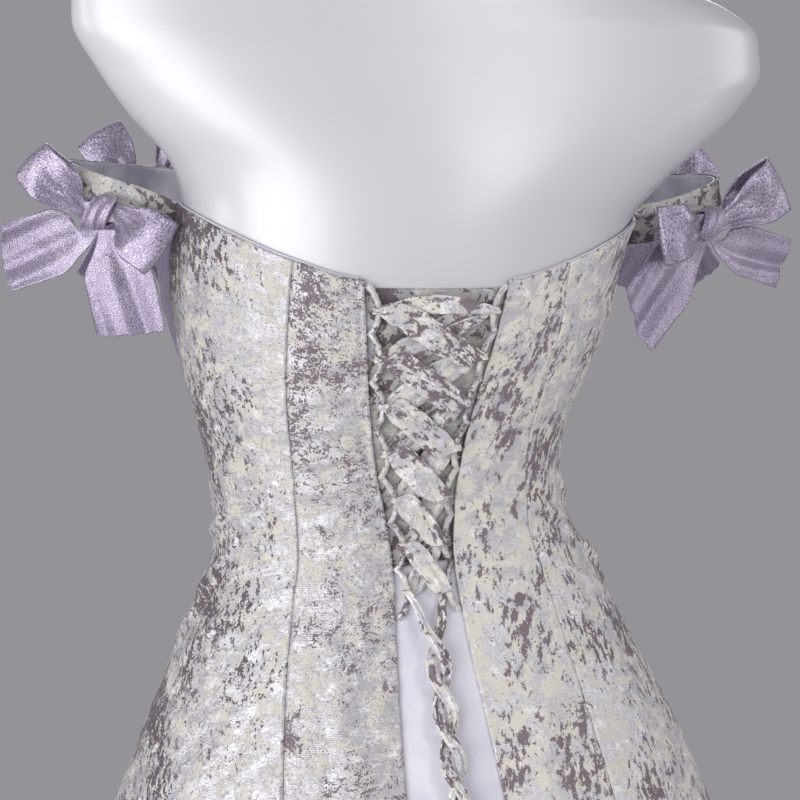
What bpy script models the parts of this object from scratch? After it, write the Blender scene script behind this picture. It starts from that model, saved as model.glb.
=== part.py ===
"""A laced evening dress worn by a smooth armless dress form on a round stand.

Metres, +Z up. The wearer's front faces -Y and the wearer's left side is +X. The origin is the centre of
the underside of the stand's foot, on the floor. Angles round the body are degrees from the centre back,
growing towards the wearer's left side, so 0 is the centre back and 180 the centre front.
"""

import math
from collections import namedtuple

import bmesh
import bpy
from mathutils import Vector

# Layers of cloth, as distances outwards from the form's skin
UNDER_INNER = 0.0005
UNDER_OUTER = 0.0015
GOWN_INNER = 0.0022
GOWN_OUTER = 0.0037
SEAM_GAP = 0.0004
FRONT_SEAM_GAP = 0.0007
EDGE_REACH = 0.0003

# Heights
WAIST = 1.060
HEM = 0.010
BACK_SKIRT_TOP = 1.044

# Angles of the seams: the princess seams run at each height of PRINCESS, the side and front seams stay
SIDE_SEAM = 100.0
FRONT_SEAM = 138.0
FRONT_CENTRE = 180.0

# Bust of the form: how far the chest swells, and where
BUST_SWELL = 0.034
BUST_ANGLE = 132.0
BUST_HEIGHT = 1.218
BUST_ANGLE_SPREAD = 24.0
BUST_HEIGHT_SPREAD = 0.054

# Soft flutes of the skirt, which start below the hip and grow to the hem
FLUTES = 12
FLUTE_DEPTH = 0.016
FLUTE_TOP = 0.84

# Back lacing
LACE_LEVELS = 7
LACE_TOP = 1.209
LACE_PITCH = 0.0302
LOOP_REACH = 0.0080
LOOP_RADIUS = 0.0012
LOOP_FOOT_OUT = 0.0034
LOOP_TIP_OUT = 0.0069
HAIRPIN = 0.0034
HAIRPIN_HALF_WIDTH = 0.0023
LACE_END = 0.680
LACE_END_STEPS = 58
LACE_HALF_THICKNESS = 0.0008
LACE_HALF_WIDTH = 0.0090
LACE_WIDTH_BY_GAP = 0.35
LACE_WIDTH_LESS = 0.0010
LACE_FULLNESS = 0.38
LEG_STEPS = 6
LEG_DIP = 0.0024
HAIRPIN_STEPS = 4
BAR_HALF_WIDTH = 0.0060
BAR_RISE = 0.0040
TWIST_PITCH = 0.029
TWIST_ACROSS = 0.0047
TWIST_DEPTH = 0.0034
TWIST_OUT = 0.0110
END_DROP = 0.0100
END_GATHER = 0.0300
TWIST_DROP = 0.0180
END_IN = 0.75
STRAND_HALF_WIDTH = 0.0038
SCALLOP_STEPS = 6
SCALLOP_FOOT_GAP = 0.0007

# Stand
FOOT_RADIUS = 0.165
FOOT_THICKNESS = 0.014
POLE_RADIUS = 0.0145
COLLAR_RADIUS = 0.026
COLLAR_HEIGHT = 0.030
FORM_BOTTOM = 0.790

Section = namedtuple("Section", "height half_width back_depth front_depth centre_x lean")
FORM = [
    Section(0.790, 0.085, 0.055, 0.050, -0.008, 0.00),
    Section(0.797, 0.128, 0.086, 0.078, -0.008, 0.00),
    Section(0.820, 0.153, 0.104, 0.094, -0.008, -0.01),
    Section(0.870, 0.164, 0.113, 0.098, -0.008, -0.03),
    Section(0.930, 0.157, 0.107, 0.095, -0.006, -0.06),
    Section(0.985, 0.138, 0.092, 0.088, -0.004, -0.09),
    Section(1.030, 0.121, 0.081, 0.082, -0.003, -0.10),
    Section(1.070, 0.1130, 0.079, 0.080, -0.001, -0.10),
    Section(1.110, 0.1165, 0.082, 0.084, 0.001, -0.06),
    Section(1.150, 0.1290, 0.087, 0.091, -0.001, -0.02),
    Section(1.190, 0.1395, 0.090, 0.097, -0.006, 0.01),
    Section(1.230, 0.1450, 0.091, 0.100, -0.010, 0.03),
    Section(1.262, 0.1490, 0.090, 0.098, -0.016, 0.04),
    Section(1.290, 0.1660, 0.087, 0.091, -0.023, 0.05),
    Section(1.318, 0.1950, 0.081, 0.081, -0.025, 0.06),
    Section(1.344, 0.2170, 0.073, 0.070, -0.026, 0.07),
    Section(1.372, 0.2325, 0.064, 0.060, -0.025, 0.08),
    Section(1.394, 0.2310, 0.057, 0.054, -0.024, 0.08),
    Section(1.412, 0.2080, 0.052, 0.051, -0.022, 0.08),
    Section(1.430, 0.1480, 0.049, 0.050, -0.018, 0.07),
    Section(1.446, 0.0920, 0.048, 0.050, -0.017, 0.05),
    Section(1.466, 0.0660, 0.049, 0.051, -0.017, 0.03),
    Section(1.504, 0.0560, 0.049, 0.050, -0.017, 0.00),
    Section(1.528, 0.0550, 0.048, 0.049, -0.017, 0.00),
    Section(1.534, 0.0500, 0.043, 0.044, -0.017, 0.00),
]
SKIRT = [
    Section(0.000, 0.530, 0.530, 0.440, -0.010, 0.00),
    Section(0.300, 0.422, 0.388, 0.340, -0.011, 0.00),
    Section(0.600, 0.308, 0.248, 0.238, -0.012, -0.02),
    Section(0.780, 0.236, 0.169, 0.171, -0.012, -0.04),
    Section(0.876, 0.196, 0.135, 0.137, -0.012, -0.06),
    Section(0.941, 0.167, 0.113, 0.114, -0.008, -0.08),
    Section(1.000, 0.1390, 0.094, 0.096, -0.004, -0.10),
    Section(1.030, 0.1250, 0.084, 0.086, -0.003, -0.10),
]

Edge = namedtuple("Edge", "height half_gap")
BACK_OPENING = [
    Edge(0.000, 0.1080),
    Edge(0.400, 0.0720),
    Edge(0.876, 0.0335),
    Edge(0.940, 0.0285),
    Edge(1.000, 0.0230),
    Edge(1.045, 0.0200),
    Edge(1.080, 0.0230),
    Edge(1.110, 0.0280),
    Edge(1.145, 0.0340),
    Edge(1.190, 0.0420),
    Edge(1.240, 0.0490),
]

Seam = namedtuple("Seam", "height angle")
PRINCESS = [
    Seam(0.000, 29.0),
    Seam(0.500, 31.0),
    Seam(0.876, 34.5),
    Seam(1.000, 39.0),
    Seam(1.070, 41.5),
    Seam(1.170, 40.0),
    Seam(1.250, 38.0),
]

# Top edge of the dress, by angle from the centre back
Top = namedtuple("Top", "angle height")
BACK_NECKLINE = [
    Top(0.0, 1.2270),
    Top(20.0, 1.2280),
    Top(38.0, 1.2380),
    Top(60.0, 1.2520),
    Top(80.0, 1.2610),
    Top(100.0, 1.2650),
]
ARMHOLE = [
    Top(100.0, 1.2400),
    Top(112.0, 1.2380),
    Top(126.0, 1.2430),
    Top(138.0, 1.2530),
]
FRONT_NECKLINE = [
    Top(138.0, 1.2800),
    Top(152.0, 1.2850),
    Top(166.0, 1.2780),
    Top(180.0, 1.2620),
]

# Middle line of the left off-shoulder strap, from the side seam round the arm to the front corner
Strap = namedtuple("Strap", "from_centre y height width")
STRAP = [
    Strap(0.1720, -0.0230, 1.2590, 0.0270),
    Strap(0.1960, -0.0280, 1.2660, 0.0255),
    Strap(0.2150, -0.0400, 1.2720, 0.0240),
    Strap(0.2220, -0.0580, 1.2750, 0.0235),
    Strap(0.2140, -0.0780, 1.2750, 0.0235),
    Strap(0.1930, -0.0950, 1.2730, 0.0240),
    Strap(0.1640, -0.1030, 1.2710, 0.0245),
    Strap(0.1360, -0.1000, 1.2690, 0.0250),
]
STRAP_REACH = {1: 1.0, -1: 1.045}
STRAP_CLOTH = 0.0014
STRAP_LINING_CLOTH = 0.0010
STRAP_LINING_INSET = 0.0006
STRAP_LAYER_GAP = 0.0009
STRAP_LEAN = 0.16
STRAP_OFF_SEAM = 0.0019
STRAP_OVERLAP = 0.0030
STRAP_BACK_SEAT = 1.2530
STRAP_FRONT_SEAT = 1.2660
STRAP_SEAT_HALF = 0.0120
STRAP_LEVEL = 1.27
STRAP_ROWS = 28
STRAP_END_ROWS = 3

# Ribbon bows on the straps. share says how far along the strap a bow sits, turns are as seen by a person who
# faces the bow: 0 to the right, 90 up
Ribbon = namedtuple("Ribbon", "turn length half_width")
Bow = namedtuple("Bow", "side share drop first_loop second_loop first_tail second_tail")
BOWS = {
    "back_left": Bow(1, 0.210, 0.011, Ribbon(135.0, 0.056, 0.016), Ribbon(-34.0, 0.052, 0.020),
                     Ribbon(199.0, 0.074, 0.022), Ribbon(286.0, 0.082, 0.023)),
    "back_right": Bow(-1, 0.245, 0.011, Ribbon(28.0, 0.060, 0.020), Ribbon(187.0, 0.058, 0.019),
                      Ribbon(215.0, 0.098, 0.024), Ribbon(341.0, 0.076, 0.018)),
    "front_left": Bow(1, 0.780, 0.004, Ribbon(116.0, 0.054, 0.013), Ribbon(58.0, 0.050, 0.016),
                      Ribbon(246.0, 0.070, 0.019), Ribbon(296.0, 0.070, 0.019)),
    "front_right": Bow(-1, 0.640, 0.004, Ribbon(140.0, 0.046, 0.015), Ribbon(24.0, 0.054, 0.020),
                       Ribbon(240.0, 0.070, 0.019), Ribbon(292.0, 0.070, 0.019)),
}
BOW_CLOTH = 0.0010
KNOT_CLOTH = 0.0014
BOW_NECK_HALF = 0.0065
BOW_NECK_REACH = 0.0096
BOW_PUFF = 0.0105
BOW_BACK_PUFF = 0.35
BOW_LAYER_GAP = 0.0013
BOW_LIFT = 0.28
BOW_AROUND = 12
LOOP_PUFF_GROWTH = 1.6
LOOP_WIDTH_GROWTH = 1.5
LOOP_TURN_GROWTH = 3.0
TAIL_BEHIND = 0.0038
TAIL_ROOT_BEHIND = 0.0008
TAIL_ROOT_ACROSS = 0.0044
TAIL_APART = 0.0016
TAIL_RISE = 0.0050
TAIL_NARROW = 0.6
TAIL_SLANT = 0.18
TAIL_STEPS = 6
TAIL_WIDTH_GROWTH = 1.6
TAIL_TURN_GROWTH = 4.0
TAIL_DROP_GROWTH = 5.0
KNOT_HALF_LENGTH = 0.0066
KNOT_PLAY = 0.0018
KNOT_SWELL = 0.16
KNOT_HIGH = BOW_NECK_HALF + KNOT_PLAY + KNOT_CLOTH / 2
KNOT_DEEP = BOW_LAYER_GAP + BOW_CLOTH / 2 + KNOT_PLAY + KNOT_CLOTH / 2

# Mesh fineness. Between the hip and the chest the form keeps the rows of the cloth over it
FORM_SIDES = 28
HIP = 0.900
CHEST = 1.300
CHEST_HEIGHTS = [1.236, 1.247, 1.258, 1.270, 1.282]
BODICE_HEIGHTS = [1.225, 1.205, 1.184, 1.160, 1.130, 1.095]
TOP_ROW_SHARES = [1.0, 0.68, 0.35]
SKIRT_HEIGHTS = [WAIST, BACK_SKIRT_TOP, 1.027, 1.006, 0.970, 0.925, 0.860, 0.770, 0.670, 0.550, 0.400, 0.210, HEM]
CENTRE_BACK_COLUMNS = 7
SIDE_BACK_COLUMNS = 12
SIDE_FRONT_COLUMNS = 8
FRONT_COLUMNS = 14
MODESTY_HALF_ANGLE = 33.0
MODESTY_DROP = 0.0045
OPENING_COLUMNS = 5

Finish = namedtuple("Finish", "colour roughness metallic")
FINISHES = {
    "brocade": Finish((0.66, 0.63, 0.62), 0.48, 0.0),
    "satin": Finish((0.62, 0.56, 0.68), 0.34, 0.0),
    "strap_lining": Finish((0.42, 0.41, 0.48), 0.38, 0.0),
    "form_skin": Finish((0.86, 0.85, 0.87), 0.42, 0.0),
    "stand_metal": Finish((0.72, 0.72, 0.74), 0.30, 1.0),
}


def clear_scene():
    for item in list(bpy.data.objects):
        bpy.data.objects.remove(item)


def make_materials():
    made = {}
    for name, finish in FINISHES.items():
        material = bpy.data.materials.new(name)
        material.use_nodes = True
        shader = material.node_tree.nodes["Principled BSDF"]
        shader.inputs["Base Color"].default_value = (*finish.colour, 1.0)
        shader.inputs["Roughness"].default_value = finish.roughness
        shader.inputs["Metallic"].default_value = finish.metallic
        made[name] = material
    return made


def along(rows, key, column, position):
    """The column's value at a position between the rows: a cubic that keeps to the rows and never overshoots."""
    at = [getattr(row, key) for row in rows]
    value = [getattr(row, column) for row in rows]
    if position <= at[0]:
        return value[0]
    if position >= at[-1]:
        return value[-1]
    slopes = [(value[i + 1] - value[i]) / (at[i + 1] - at[i]) for i in range(len(at) - 1)]

    def tangent(i):
        if i == 0:
            return slopes[0]
        if i == len(at) - 1:
            return slopes[-1]
        before, after = slopes[i - 1], slopes[i]
        if before * after <= 0:
            return 0.0
        return 2 * before * after / (before + after)

    i = max(j for j in range(len(at) - 1) if at[j] <= position)
    span = at[i + 1] - at[i]
    t = (position - at[i]) / span
    start = value[i] * (2 * t**3 - 3 * t**2 + 1) + tangent(i) * span * (t**3 - 2 * t**2 + t)
    end = value[i + 1] * (3 * t**2 - 2 * t**3) + tangent(i + 1) * span * (t**3 - t**2)
    return start + end


def smooth(t):
    t = min(1.0, max(0.0, t))
    return t * t * (3 - 2 * t)


def form_section(height):
    return Section(height, *[along(FORM, "height", c, height) for c in Section._fields[1:]])


# The dress hugs the form down to the waist and follows its own table of skirt sections below
GOWN = SKIRT + [form_section(WAIST + 0.02 * step) for step in range(12)]


def gown_section(height):
    return Section(height, *[along(GOWN, "height", c, height) for c in Section._fields[1:]])


def from_back(angle):
    """Angle from the centre back by the shorter way round."""
    return FRONT_CENTRE - abs(FRONT_CENTRE - abs(angle))


def bust(angle, height):
    away = (from_back(angle) - BUST_ANGLE) / BUST_ANGLE_SPREAD
    above = (height - BUST_HEIGHT) / BUST_HEIGHT_SPREAD
    return BUST_SWELL * math.exp(-away * away - above * above)


def ring_point(section, angle, out):
    """A point of an oval section: half ovals of different depth at the back and front, moved outwards by out."""
    turn = math.radians(angle)
    depth = section.back_depth if math.cos(turn) > 0 else section.front_depth
    normal = Vector((math.sin(turn) / section.half_width, math.cos(turn) / depth, 0)).normalized()
    side = section.half_width * math.sin(turn) + normal.x * out
    back = depth * math.cos(turn) + normal.y * out
    return Vector((section.centre_x + side, back, section.height + section.lean * side))


def form_point(angle, height):
    return ring_point(form_section(height), angle, bust(angle, height))


def flute(angle, height):
    """How far the skirt's soft flutes stand out: cosine waves round the skirt that grow from the hip down."""
    grown = smooth((FLUTE_TOP - height) / FLUTE_TOP)
    turn = math.radians(angle)
    return FLUTE_DEPTH * grown * math.cos(FLUTES * turn) * (1 + 0.3 * math.cos(3 * turn + 0.6))


def cloth_point(angle, height, out):
    """A point of the dress: over the form above the waist, over the skirt's sections below it."""
    return ring_point(gown_section(height), angle, out + bust(angle, height) + flute(angle, height))


def edge_angle(height):
    """Angle of the back opening's left edge, from the half gap between the two edges."""
    gap = along(BACK_OPENING, "height", "half_gap", height)
    return math.degrees(math.asin(gap / gown_section(height).half_width))


def princess_angle(height):
    return along(PRINCESS, "height", "angle", height)


def inset(angle, height, distance):
    return angle + math.degrees(distance / gown_section(height).half_width)


def top_height(tops, angle):
    return along(tops, "angle", "height", from_back(angle))


def finish_object(mesh, name, material, collection):
    item = bpy.data.objects.new(name, mesh)
    mesh.materials.append(material)
    collection.objects.link(item)
    return item


def mesh_from(name, points, faces):
    mesh = bpy.data.meshes.new(name)
    mesh.from_pydata([tuple(p) for p in points], [], faces)
    shape = bmesh.new()
    shape.from_mesh(mesh)
    bmesh.ops.recalc_face_normals(shape, faces=shape.faces)
    shape.to_mesh(mesh)
    shape.free()
    mesh.shade_smooth()
    mesh.set_sharp_from_angle(angle=math.radians(40))
    return mesh


def loft(name, rings, material, collection):
    """A closed solid through rings of equal count, with a flat face over each end."""
    count = len(rings[0])
    points = [p for ring in rings for p in ring]
    faces = [list(range(count)), [len(points) - count + i for i in range(count)]]
    for row in range(len(rings) - 1):
        for i in range(count):
            near, far = row * count + i, row * count + (i + 1) % count
            faces.append([near, far, far + count, near + count])
    return finish_object(mesh_from(name, points, faces), name, material, collection)


def wall(name, outer, inner, material, collection):
    """A closed wall of cloth between two grids of points, rows from top to bottom, with a rim all round."""
    rows, columns = len(outer), len(outer[0])
    points = [p for grid in (outer, inner) for row in grid for p in row]

    def index(grid, row, column):
        return (grid * rows + row) * columns + column

    faces = []
    for grid in (0, 1):
        for row in range(rows - 1):
            for column in range(columns - 1):
                near, far = index(grid, row, column), index(grid, row + 1, column + 1)
                faces.append([near, index(grid, row, column + 1), far])
                faces.append([near, far, index(grid, row + 1, column)])
    border = [(0, c) for c in range(columns)] + [(r, columns - 1) for r in range(1, rows)]
    border += [(rows - 1, c) for c in range(columns - 2, -1, -1)] + [(r, 0) for r in range(rows - 2, 0, -1)]
    for here, there in zip(border, border[1:] + border[:1]):
        faces.append([index(0, *here), index(0, *there), index(1, *there), index(1, *here)])
    return finish_object(mesh_from(name, points, faces), name, material, collection)


def shell(name, grid, thickness, material, collection, closed=False):
    """An open surface through a grid of points, given its thickness evenly on both sides. closed joins the last
    row to the first."""
    rows, columns = len(grid), len(grid[0])
    faces = []
    for row in range(rows if closed else rows - 1):
        below = (row + 1) % rows
        for column in range(columns - 1):
            faces.append([row * columns + column, row * columns + column + 1,
                          below * columns + column + 1, below * columns + column])
    item = finish_object(mesh_from(name, [p for row in grid for p in row], faces), name, material, collection)
    cloth = item.modifiers.new("cloth", "SOLIDIFY")
    cloth.thickness = thickness
    cloth.offset = 0.0
    return item


def between(start, end, columns):
    """Column angles of a piece as functions of the height, evenly spaced from one seam to the other."""
    def column(share):
        return lambda height: start(height) + share * (end(height) - start(height))
    return [column(i / columns) for i in range(columns + 1)]


def panel(name, columns, heights, inner, out, material, collection):
    """A cut piece of the dress. columns give each column's angle at a height, from one seam to the other, and
    heights give each row's height at an angle, from the top edge down. Every piece is built in the direction of
    growing angles, so that layers over each other are cut into the same triangles."""
    columns = sorted(columns, key=lambda angle_at: angle_at(WAIST))
    grids = []
    for layer in (out, inner):
        grid = []
        for height_at in heights:
            row = []
            for angle_at in columns:
                height = WAIST
                for _ in range(4):
                    angle = angle_at(height)
                    height = height_at(angle)
                row.append(cloth_point(angle, height, layer))
            grid.append(row)
        grids.append(grid)
    return wall(name, *grids, material, collection)


def level(height):
    return lambda angle: height


def bodice_heights(tops, bottom=WAIST):
    """Rows of a bodice piece, as heights by angle: its top edge and rows under it, then the same rows for all."""
    def top(share):
        return lambda angle: BODICE_HEIGHTS[0] + share * (top_height(tops, angle) - BODICE_HEIGHTS[0])
    return [top(share) for share in TOP_ROW_SHARES] + [level(height) for height in BODICE_HEIGHTS] + [level(bottom)]


def skirt_heights(top):
    return [level(height) for height in SKIRT_HEIGHTS if height <= top]


def make_form(materials, collection):
    """The armless torso, lofted through its oval sections, on a collar, a pole and a round foot."""
    step = 360 / FORM_SIDES
    own = [row.height for row in FORM if row.height < HIP or row.height > CHEST]
    shared = [height for height in BODICE_HEIGHTS + SKIRT_HEIGHTS if height >= HIP]
    heights = sorted(own + shared + CHEST_HEIGHTS)
    rings = [[form_point(step * i - 180, height) for i in range(FORM_SIDES)] for height in heights]
    loft("form_torso", rings, materials["form_skin"], collection)

    seat = FORM_BOTTOM - EDGE_REACH
    collar_bottom = seat - COLLAR_HEIGHT
    parts = [
        ("stand_collar", COLLAR_RADIUS, collar_bottom, seat, 0.002),
        ("stand_pole", POLE_RADIUS, FOOT_THICKNESS + EDGE_REACH, collar_bottom - EDGE_REACH, 0.0),
        ("stand_foot", FOOT_RADIUS, 0.0, FOOT_THICKNESS, 0.003),
    ]
    for name, radius, low, high, edge in parts:
        bpy.ops.mesh.primitive_cylinder_add(
            vertices=32, radius=radius, depth=high - low, location=(0, 0, (low + high) / 2))
        item = bpy.context.active_object
        item.name = name
        item.data.materials.append(materials["stand_metal"])
        for holder in item.users_collection:
            holder.objects.unlink(item)
        collection.objects.link(item)
        if edge:
            rounding = item.modifiers.new("rounding", "BEVEL")
            rounding.width = edge
            rounding.segments = 1
            rounding.limit_method = "ANGLE"


def centre_back_columns(side):
    return between(lambda h: side * edge_angle(h),
                   lambda h: side * inset(princess_angle(h), h, -SEAM_GAP / 2), CENTRE_BACK_COLUMNS)


def make_back(side, word, materials, collection):
    """The centre-back and side-back panels of one side, each cut in one length from the neckline to the hem."""
    heights = bodice_heights(BACK_NECKLINE) + skirt_heights(BACK_SKIRT_TOP)
    half = SEAM_GAP / 2
    columns = between(lambda h: side * inset(princess_angle(h), h, half),
                      lambda h: side * inset(SIDE_SEAM, h, -half), SIDE_BACK_COLUMNS)
    panel("back_centre_" + word, centre_back_columns(side), heights, GOWN_INNER, GOWN_OUTER,
          materials["brocade"], collection)
    panel("back_side_" + word, columns, heights, GOWN_INNER, GOWN_OUTER, materials["brocade"], collection)


def make_front(materials, collection):
    """The satin front bodice in three pieces, and the front skirt in three gores below the waist seam."""
    half = FRONT_SEAM_GAP / 2
    seam = WAIST + SEAM_GAP
    for side, word in ((1, "left"), (-1, "right")):
        columns = between(lambda h: side * inset(SIDE_SEAM, h, SEAM_GAP / 2),
                          lambda h: side * inset(FRONT_SEAM, h, -half), SIDE_FRONT_COLUMNS)
        panel("bodice_side_front_" + word, columns, bodice_heights(ARMHOLE, seam),
              GOWN_INNER, GOWN_OUTER, materials["satin"], collection)
        panel("skirt_side_front_" + word, columns, skirt_heights(WAIST),
              GOWN_INNER, GOWN_OUTER, materials["brocade"], collection)
    columns = between(lambda h: inset(FRONT_SEAM, h, half),
                      lambda h: 2 * FRONT_CENTRE - inset(FRONT_SEAM, h, half), FRONT_COLUMNS)
    panel("bodice_front", columns, bodice_heights(FRONT_NECKLINE, seam),
          GOWN_INNER, GOWN_OUTER, materials["satin"], collection)
    panel("skirt_front", columns, skirt_heights(WAIST),
          GOWN_INNER, GOWN_OUTER, materials["brocade"], collection)


def make_under_layers(materials, collection):
    """The modesty panel behind the lacing, and the satin back skirt that shows in the opening below it.

    Both keep the rows and columns of the centre-back panels, so that they stay the same distance inside them."""
    right, left = centre_back_columns(-1), centre_back_columns(1)
    opening = between(right[0], left[0], OPENING_COLUMNS)
    columns = right[:0:-1] + opening + left[1:]
    inside = [column for column in columns if abs(column(WAIST)) < MODESTY_HALF_ANGLE]
    tops = [Top(top.angle, BACK_NECKLINE[0].height - MODESTY_DROP) for top in BACK_NECKLINE]
    rows = bodice_heights(tops)[:1] + [level(height) for height in BODICE_HEIGHTS[1:]]
    rows += [level(WAIST), level(BACK_SKIRT_TOP + SEAM_GAP)]
    panel("modesty_panel", inside, rows, UNDER_INNER, UNDER_OUTER, materials["brocade"], collection)
    panel("underskirt_back", columns, skirt_heights(BACK_SKIRT_TOP), UNDER_INNER, UNDER_OUTER,
          materials["satin"], collection)


def spline(points, count):
    """Evenly spaced points on a smooth curve through the given points, by Catmull-Rom."""
    padded = [2 * points[0] - points[1]] + points + [2 * points[-1] - points[-2]]
    fine = []
    for i in range(1, len(padded) - 2):
        a, b, c, d = padded[i - 1:i + 3]
        for step in range(12):
            t = step / 12
            fine.append(0.5 * (2 * b + (c - a) * t + (2 * a - 5 * b + 4 * c - d) * t**2
                               + (3 * b - a - 3 * c + d) * t**3))
    fine.append(points[-1])
    lengths = [0.0]
    for before, after in zip(fine, fine[1:]):
        lengths.append(lengths[-1] + (after - before).length)
    made, i = [], 0
    for step in range(count):
        goal = lengths[-1] * step / (count - 1)
        while i < len(fine) - 2 and lengths[i + 1] < goal:
            i += 1
        share = (goal - lengths[i]) / (lengths[i + 1] - lengths[i])
        made.append(fine[i].lerp(fine[i + 1], share))
    return made


def seam_row(side, seam, away, middle, half_width, out):
    """The end of a strap: a line along a seam of the bodice, close to the edge it is sewn to."""
    heights = (middle - half_width, middle, middle + half_width)
    return [cloth_point(side * inset(seam, h, away), h, out) for h in heights]


def strap_ends(side):
    """The strap butts on the back panel's side edge, and lies over the front bodice's side edge."""
    back_out = (GOWN_INNER + GOWN_OUTER) / 2
    front_out = GOWN_OUTER + STRAP_CLOTH / 2 + SEAM_GAP
    return (seam_row(side, SIDE_SEAM, STRAP_OFF_SEAM, STRAP_BACK_SEAT, STRAP_SEAT_HALF, back_out),
            seam_row(side, FRONT_SEAM, STRAP_OVERLAP, STRAP_FRONT_SEAT, STRAP_SEAT_HALF, front_out))


def strap_line(side):
    """Rows of a strap: its middle point, the level direction away from the arm, and the direction up its face."""
    start, end = strap_ends(side)
    centre = form_section(STRAP_LEVEL)
    middle = [start[1]]
    for row in STRAP:
        across = side * row.from_centre * STRAP_REACH[side]
        middle.append(Vector((centre.centre_x + across, row.y, row.height + centre.lean * across)))
    middle = spline(middle + [end[1]], STRAP_ROWS)
    rows = []
    for i, point in enumerate(middle):
        ahead = middle[min(i + 1, len(middle) - 1)] - middle[max(i - 1, 0)]
        away = Vector((ahead.y, -ahead.x, 0)).normalized() * -side
        free = math.sin(math.pi * i / (len(middle) - 1))
        rows.append((point, away, (Vector((0, 0, 1)) - away * STRAP_LEAN * free).normalized()))
    return rows


def make_strap(side, word, materials, collection):
    """An off-shoulder strap: a band of brocade round the arm, with a thin satin lining inside it."""
    ends = strap_ends(side)
    widths = spline([Vector((row.width, 0, 0)) for row in STRAP], STRAP_ROWS)
    layers = (
        ("strap_" + word, 0.0, STRAP_CLOTH, "brocade"),
        ("strap_lining_" + word, -(STRAP_CLOTH + STRAP_LINING_CLOTH) / 2 - STRAP_LAYER_GAP, STRAP_LINING_CLOTH,
         "strap_lining"),
    )
    for name, out, thickness, finish in layers:
        grid = []
        for i, (point, away, up) in enumerate(strap_line(side)):
            half = widths[i].x / 2 - (STRAP_LINING_INSET if out else 0.0)
            sewn = ends[i > STRAP_ROWS / 2]
            near_end = smooth(1 - min(i, STRAP_ROWS - 1 - i) / STRAP_END_ROWS)
            grid.append([(point + up * half * share).lerp(spot, near_end) + away * out
                         for share, spot in zip((-1, 0, 1), sewn)])
        if out:
            grid = grid[2:-2]
        shell(name, grid, thickness, materials[finish], collection)


def bow_frame(bow):
    """Place and three directions of a bow, seated on its strap: along it, up it, and outwards."""
    point, away, up = strap_line(bow.side)[round(bow.share * (STRAP_ROWS - 1))]
    sideways = up.cross(away).normalized()
    outwards = sideways.cross(up).normalized()
    stand_off = STRAP_CLOTH / 2 + EDGE_REACH + KNOT_DEEP * (1 + KNOT_SWELL) + KNOT_CLOTH / 2
    return point + outwards * stand_off - up * bow.drop, sideways, up, outwards


def make_bow(word, bow, materials, collection):
    """A ribbon bow: one ribbon folded into two loops, a wrapped knot, and two tails that hang from the knot."""
    place, sideways, upwards, outwards = bow_frame(bow)

    def local(right, up, out):
        return place + sideways * right + upwards * up + outwards * out

    grid = []
    for number, loop in enumerate((bow.first_loop, bow.second_loop)):
        turn = math.radians(loop.turn)
        heading = Vector((math.cos(turn), math.sin(turn)))
        hand = 1 if heading.x > 0 else -1
        crosswise = Vector((-heading.y, heading.x)) * hand
        for step in range(BOW_AROUND):
            sweep = 2 * math.pi * (step + 0.5) / BOW_AROUND
            sweep = sweep if number == 0 else 2 * math.pi - sweep
            reach = loop.length * (1 - math.cos(sweep)) / 2
            beyond = max(0.0, reach - BOW_NECK_REACH)
            free = beyond / (loop.length - BOW_NECK_REACH)
            puff = BOW_PUFF * (1 if sweep < math.pi else BOW_BACK_PUFF)
            depth = BOW_LAYER_GAP * math.cos(sweep / 2)
            depth += puff * math.sin(sweep) * smooth(LOOP_PUFF_GROWTH * free)
            half = BOW_NECK_HALF + (loop.half_width - BOW_NECK_HALF) * smooth(LOOP_WIDTH_GROWTH * free)
            width = Vector((0, 1)).lerp(crosswise, smooth(LOOP_TURN_GROWTH * free)).normalized()
            centre = Vector((hand * min(reach, BOW_NECK_REACH), 0)) + heading * beyond
            row = []
            for share in (-1, 0, 1):
                spot = centre + width * half * share
                row.append(local(spot.x, spot.y, depth + BOW_LIFT * beyond))
            grid.append(row)
    shell("bow_loops_" + word, grid, BOW_CLOTH, materials["satin"], collection, closed=True)

    grid = []
    for step in range(BOW_AROUND):
        turn = 2 * math.pi * step / BOW_AROUND
        grid.append([local(KNOT_HALF_LENGTH * share,
                           KNOT_HIGH * math.cos(turn) * (1 + KNOT_SWELL * (1 - abs(share))),
                           KNOT_DEEP * math.sin(turn) * (1 + KNOT_SWELL * (1 - abs(share))))
                     for share in (-1, 0, 1)])
    shell("bow_knot_" + word, grid, KNOT_CLOTH, materials["satin"], collection, closed=True)

    start = KNOT_HIGH * (1 + KNOT_SWELL) + KNOT_CLOTH / 2
    for number, tail in enumerate((bow.first_tail, bow.second_tail)):
        turn = math.radians(tail.turn)
        heading = Vector((math.cos(turn), math.sin(turn)))
        crosswise = Vector((-heading.y, heading.x))
        root = Vector((TAIL_ROOT_ACROSS * (2 * number - 1), -start))
        narrow = TAIL_NARROW * BOW_NECK_HALF
        grid = []
        for step in range(TAIL_STEPS + 1):
            share = step / TAIL_STEPS
            reach = (tail.length - start) * share
            half = narrow + (tail.half_width - narrow) * smooth(TAIL_WIDTH_GROWTH * share)
            level_end = Vector((1, 0)).lerp(crosswise, smooth(TAIL_TURN_GROWTH * share)).normalized()
            dropped = smooth(TAIL_DROP_GROWTH * share)
            behind = TAIL_ROOT_BEHIND + (TAIL_BEHIND - TAIL_ROOT_BEHIND) * dropped
            depth = TAIL_RISE * share * share + TAIL_APART * number * dropped - behind
            row = []
            for column in (-1, 0, 1):
                slant = TAIL_SLANT * tail.half_width * column * share
                spot = root + heading * (reach + slant) + level_end * half * column
                row.append(local(spot.x, spot.y, depth))
            grid.append(row)
        shell(f"bow_tail_{word}_{number + 1}", grid, BOW_CLOTH, materials["satin"], collection)


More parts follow.
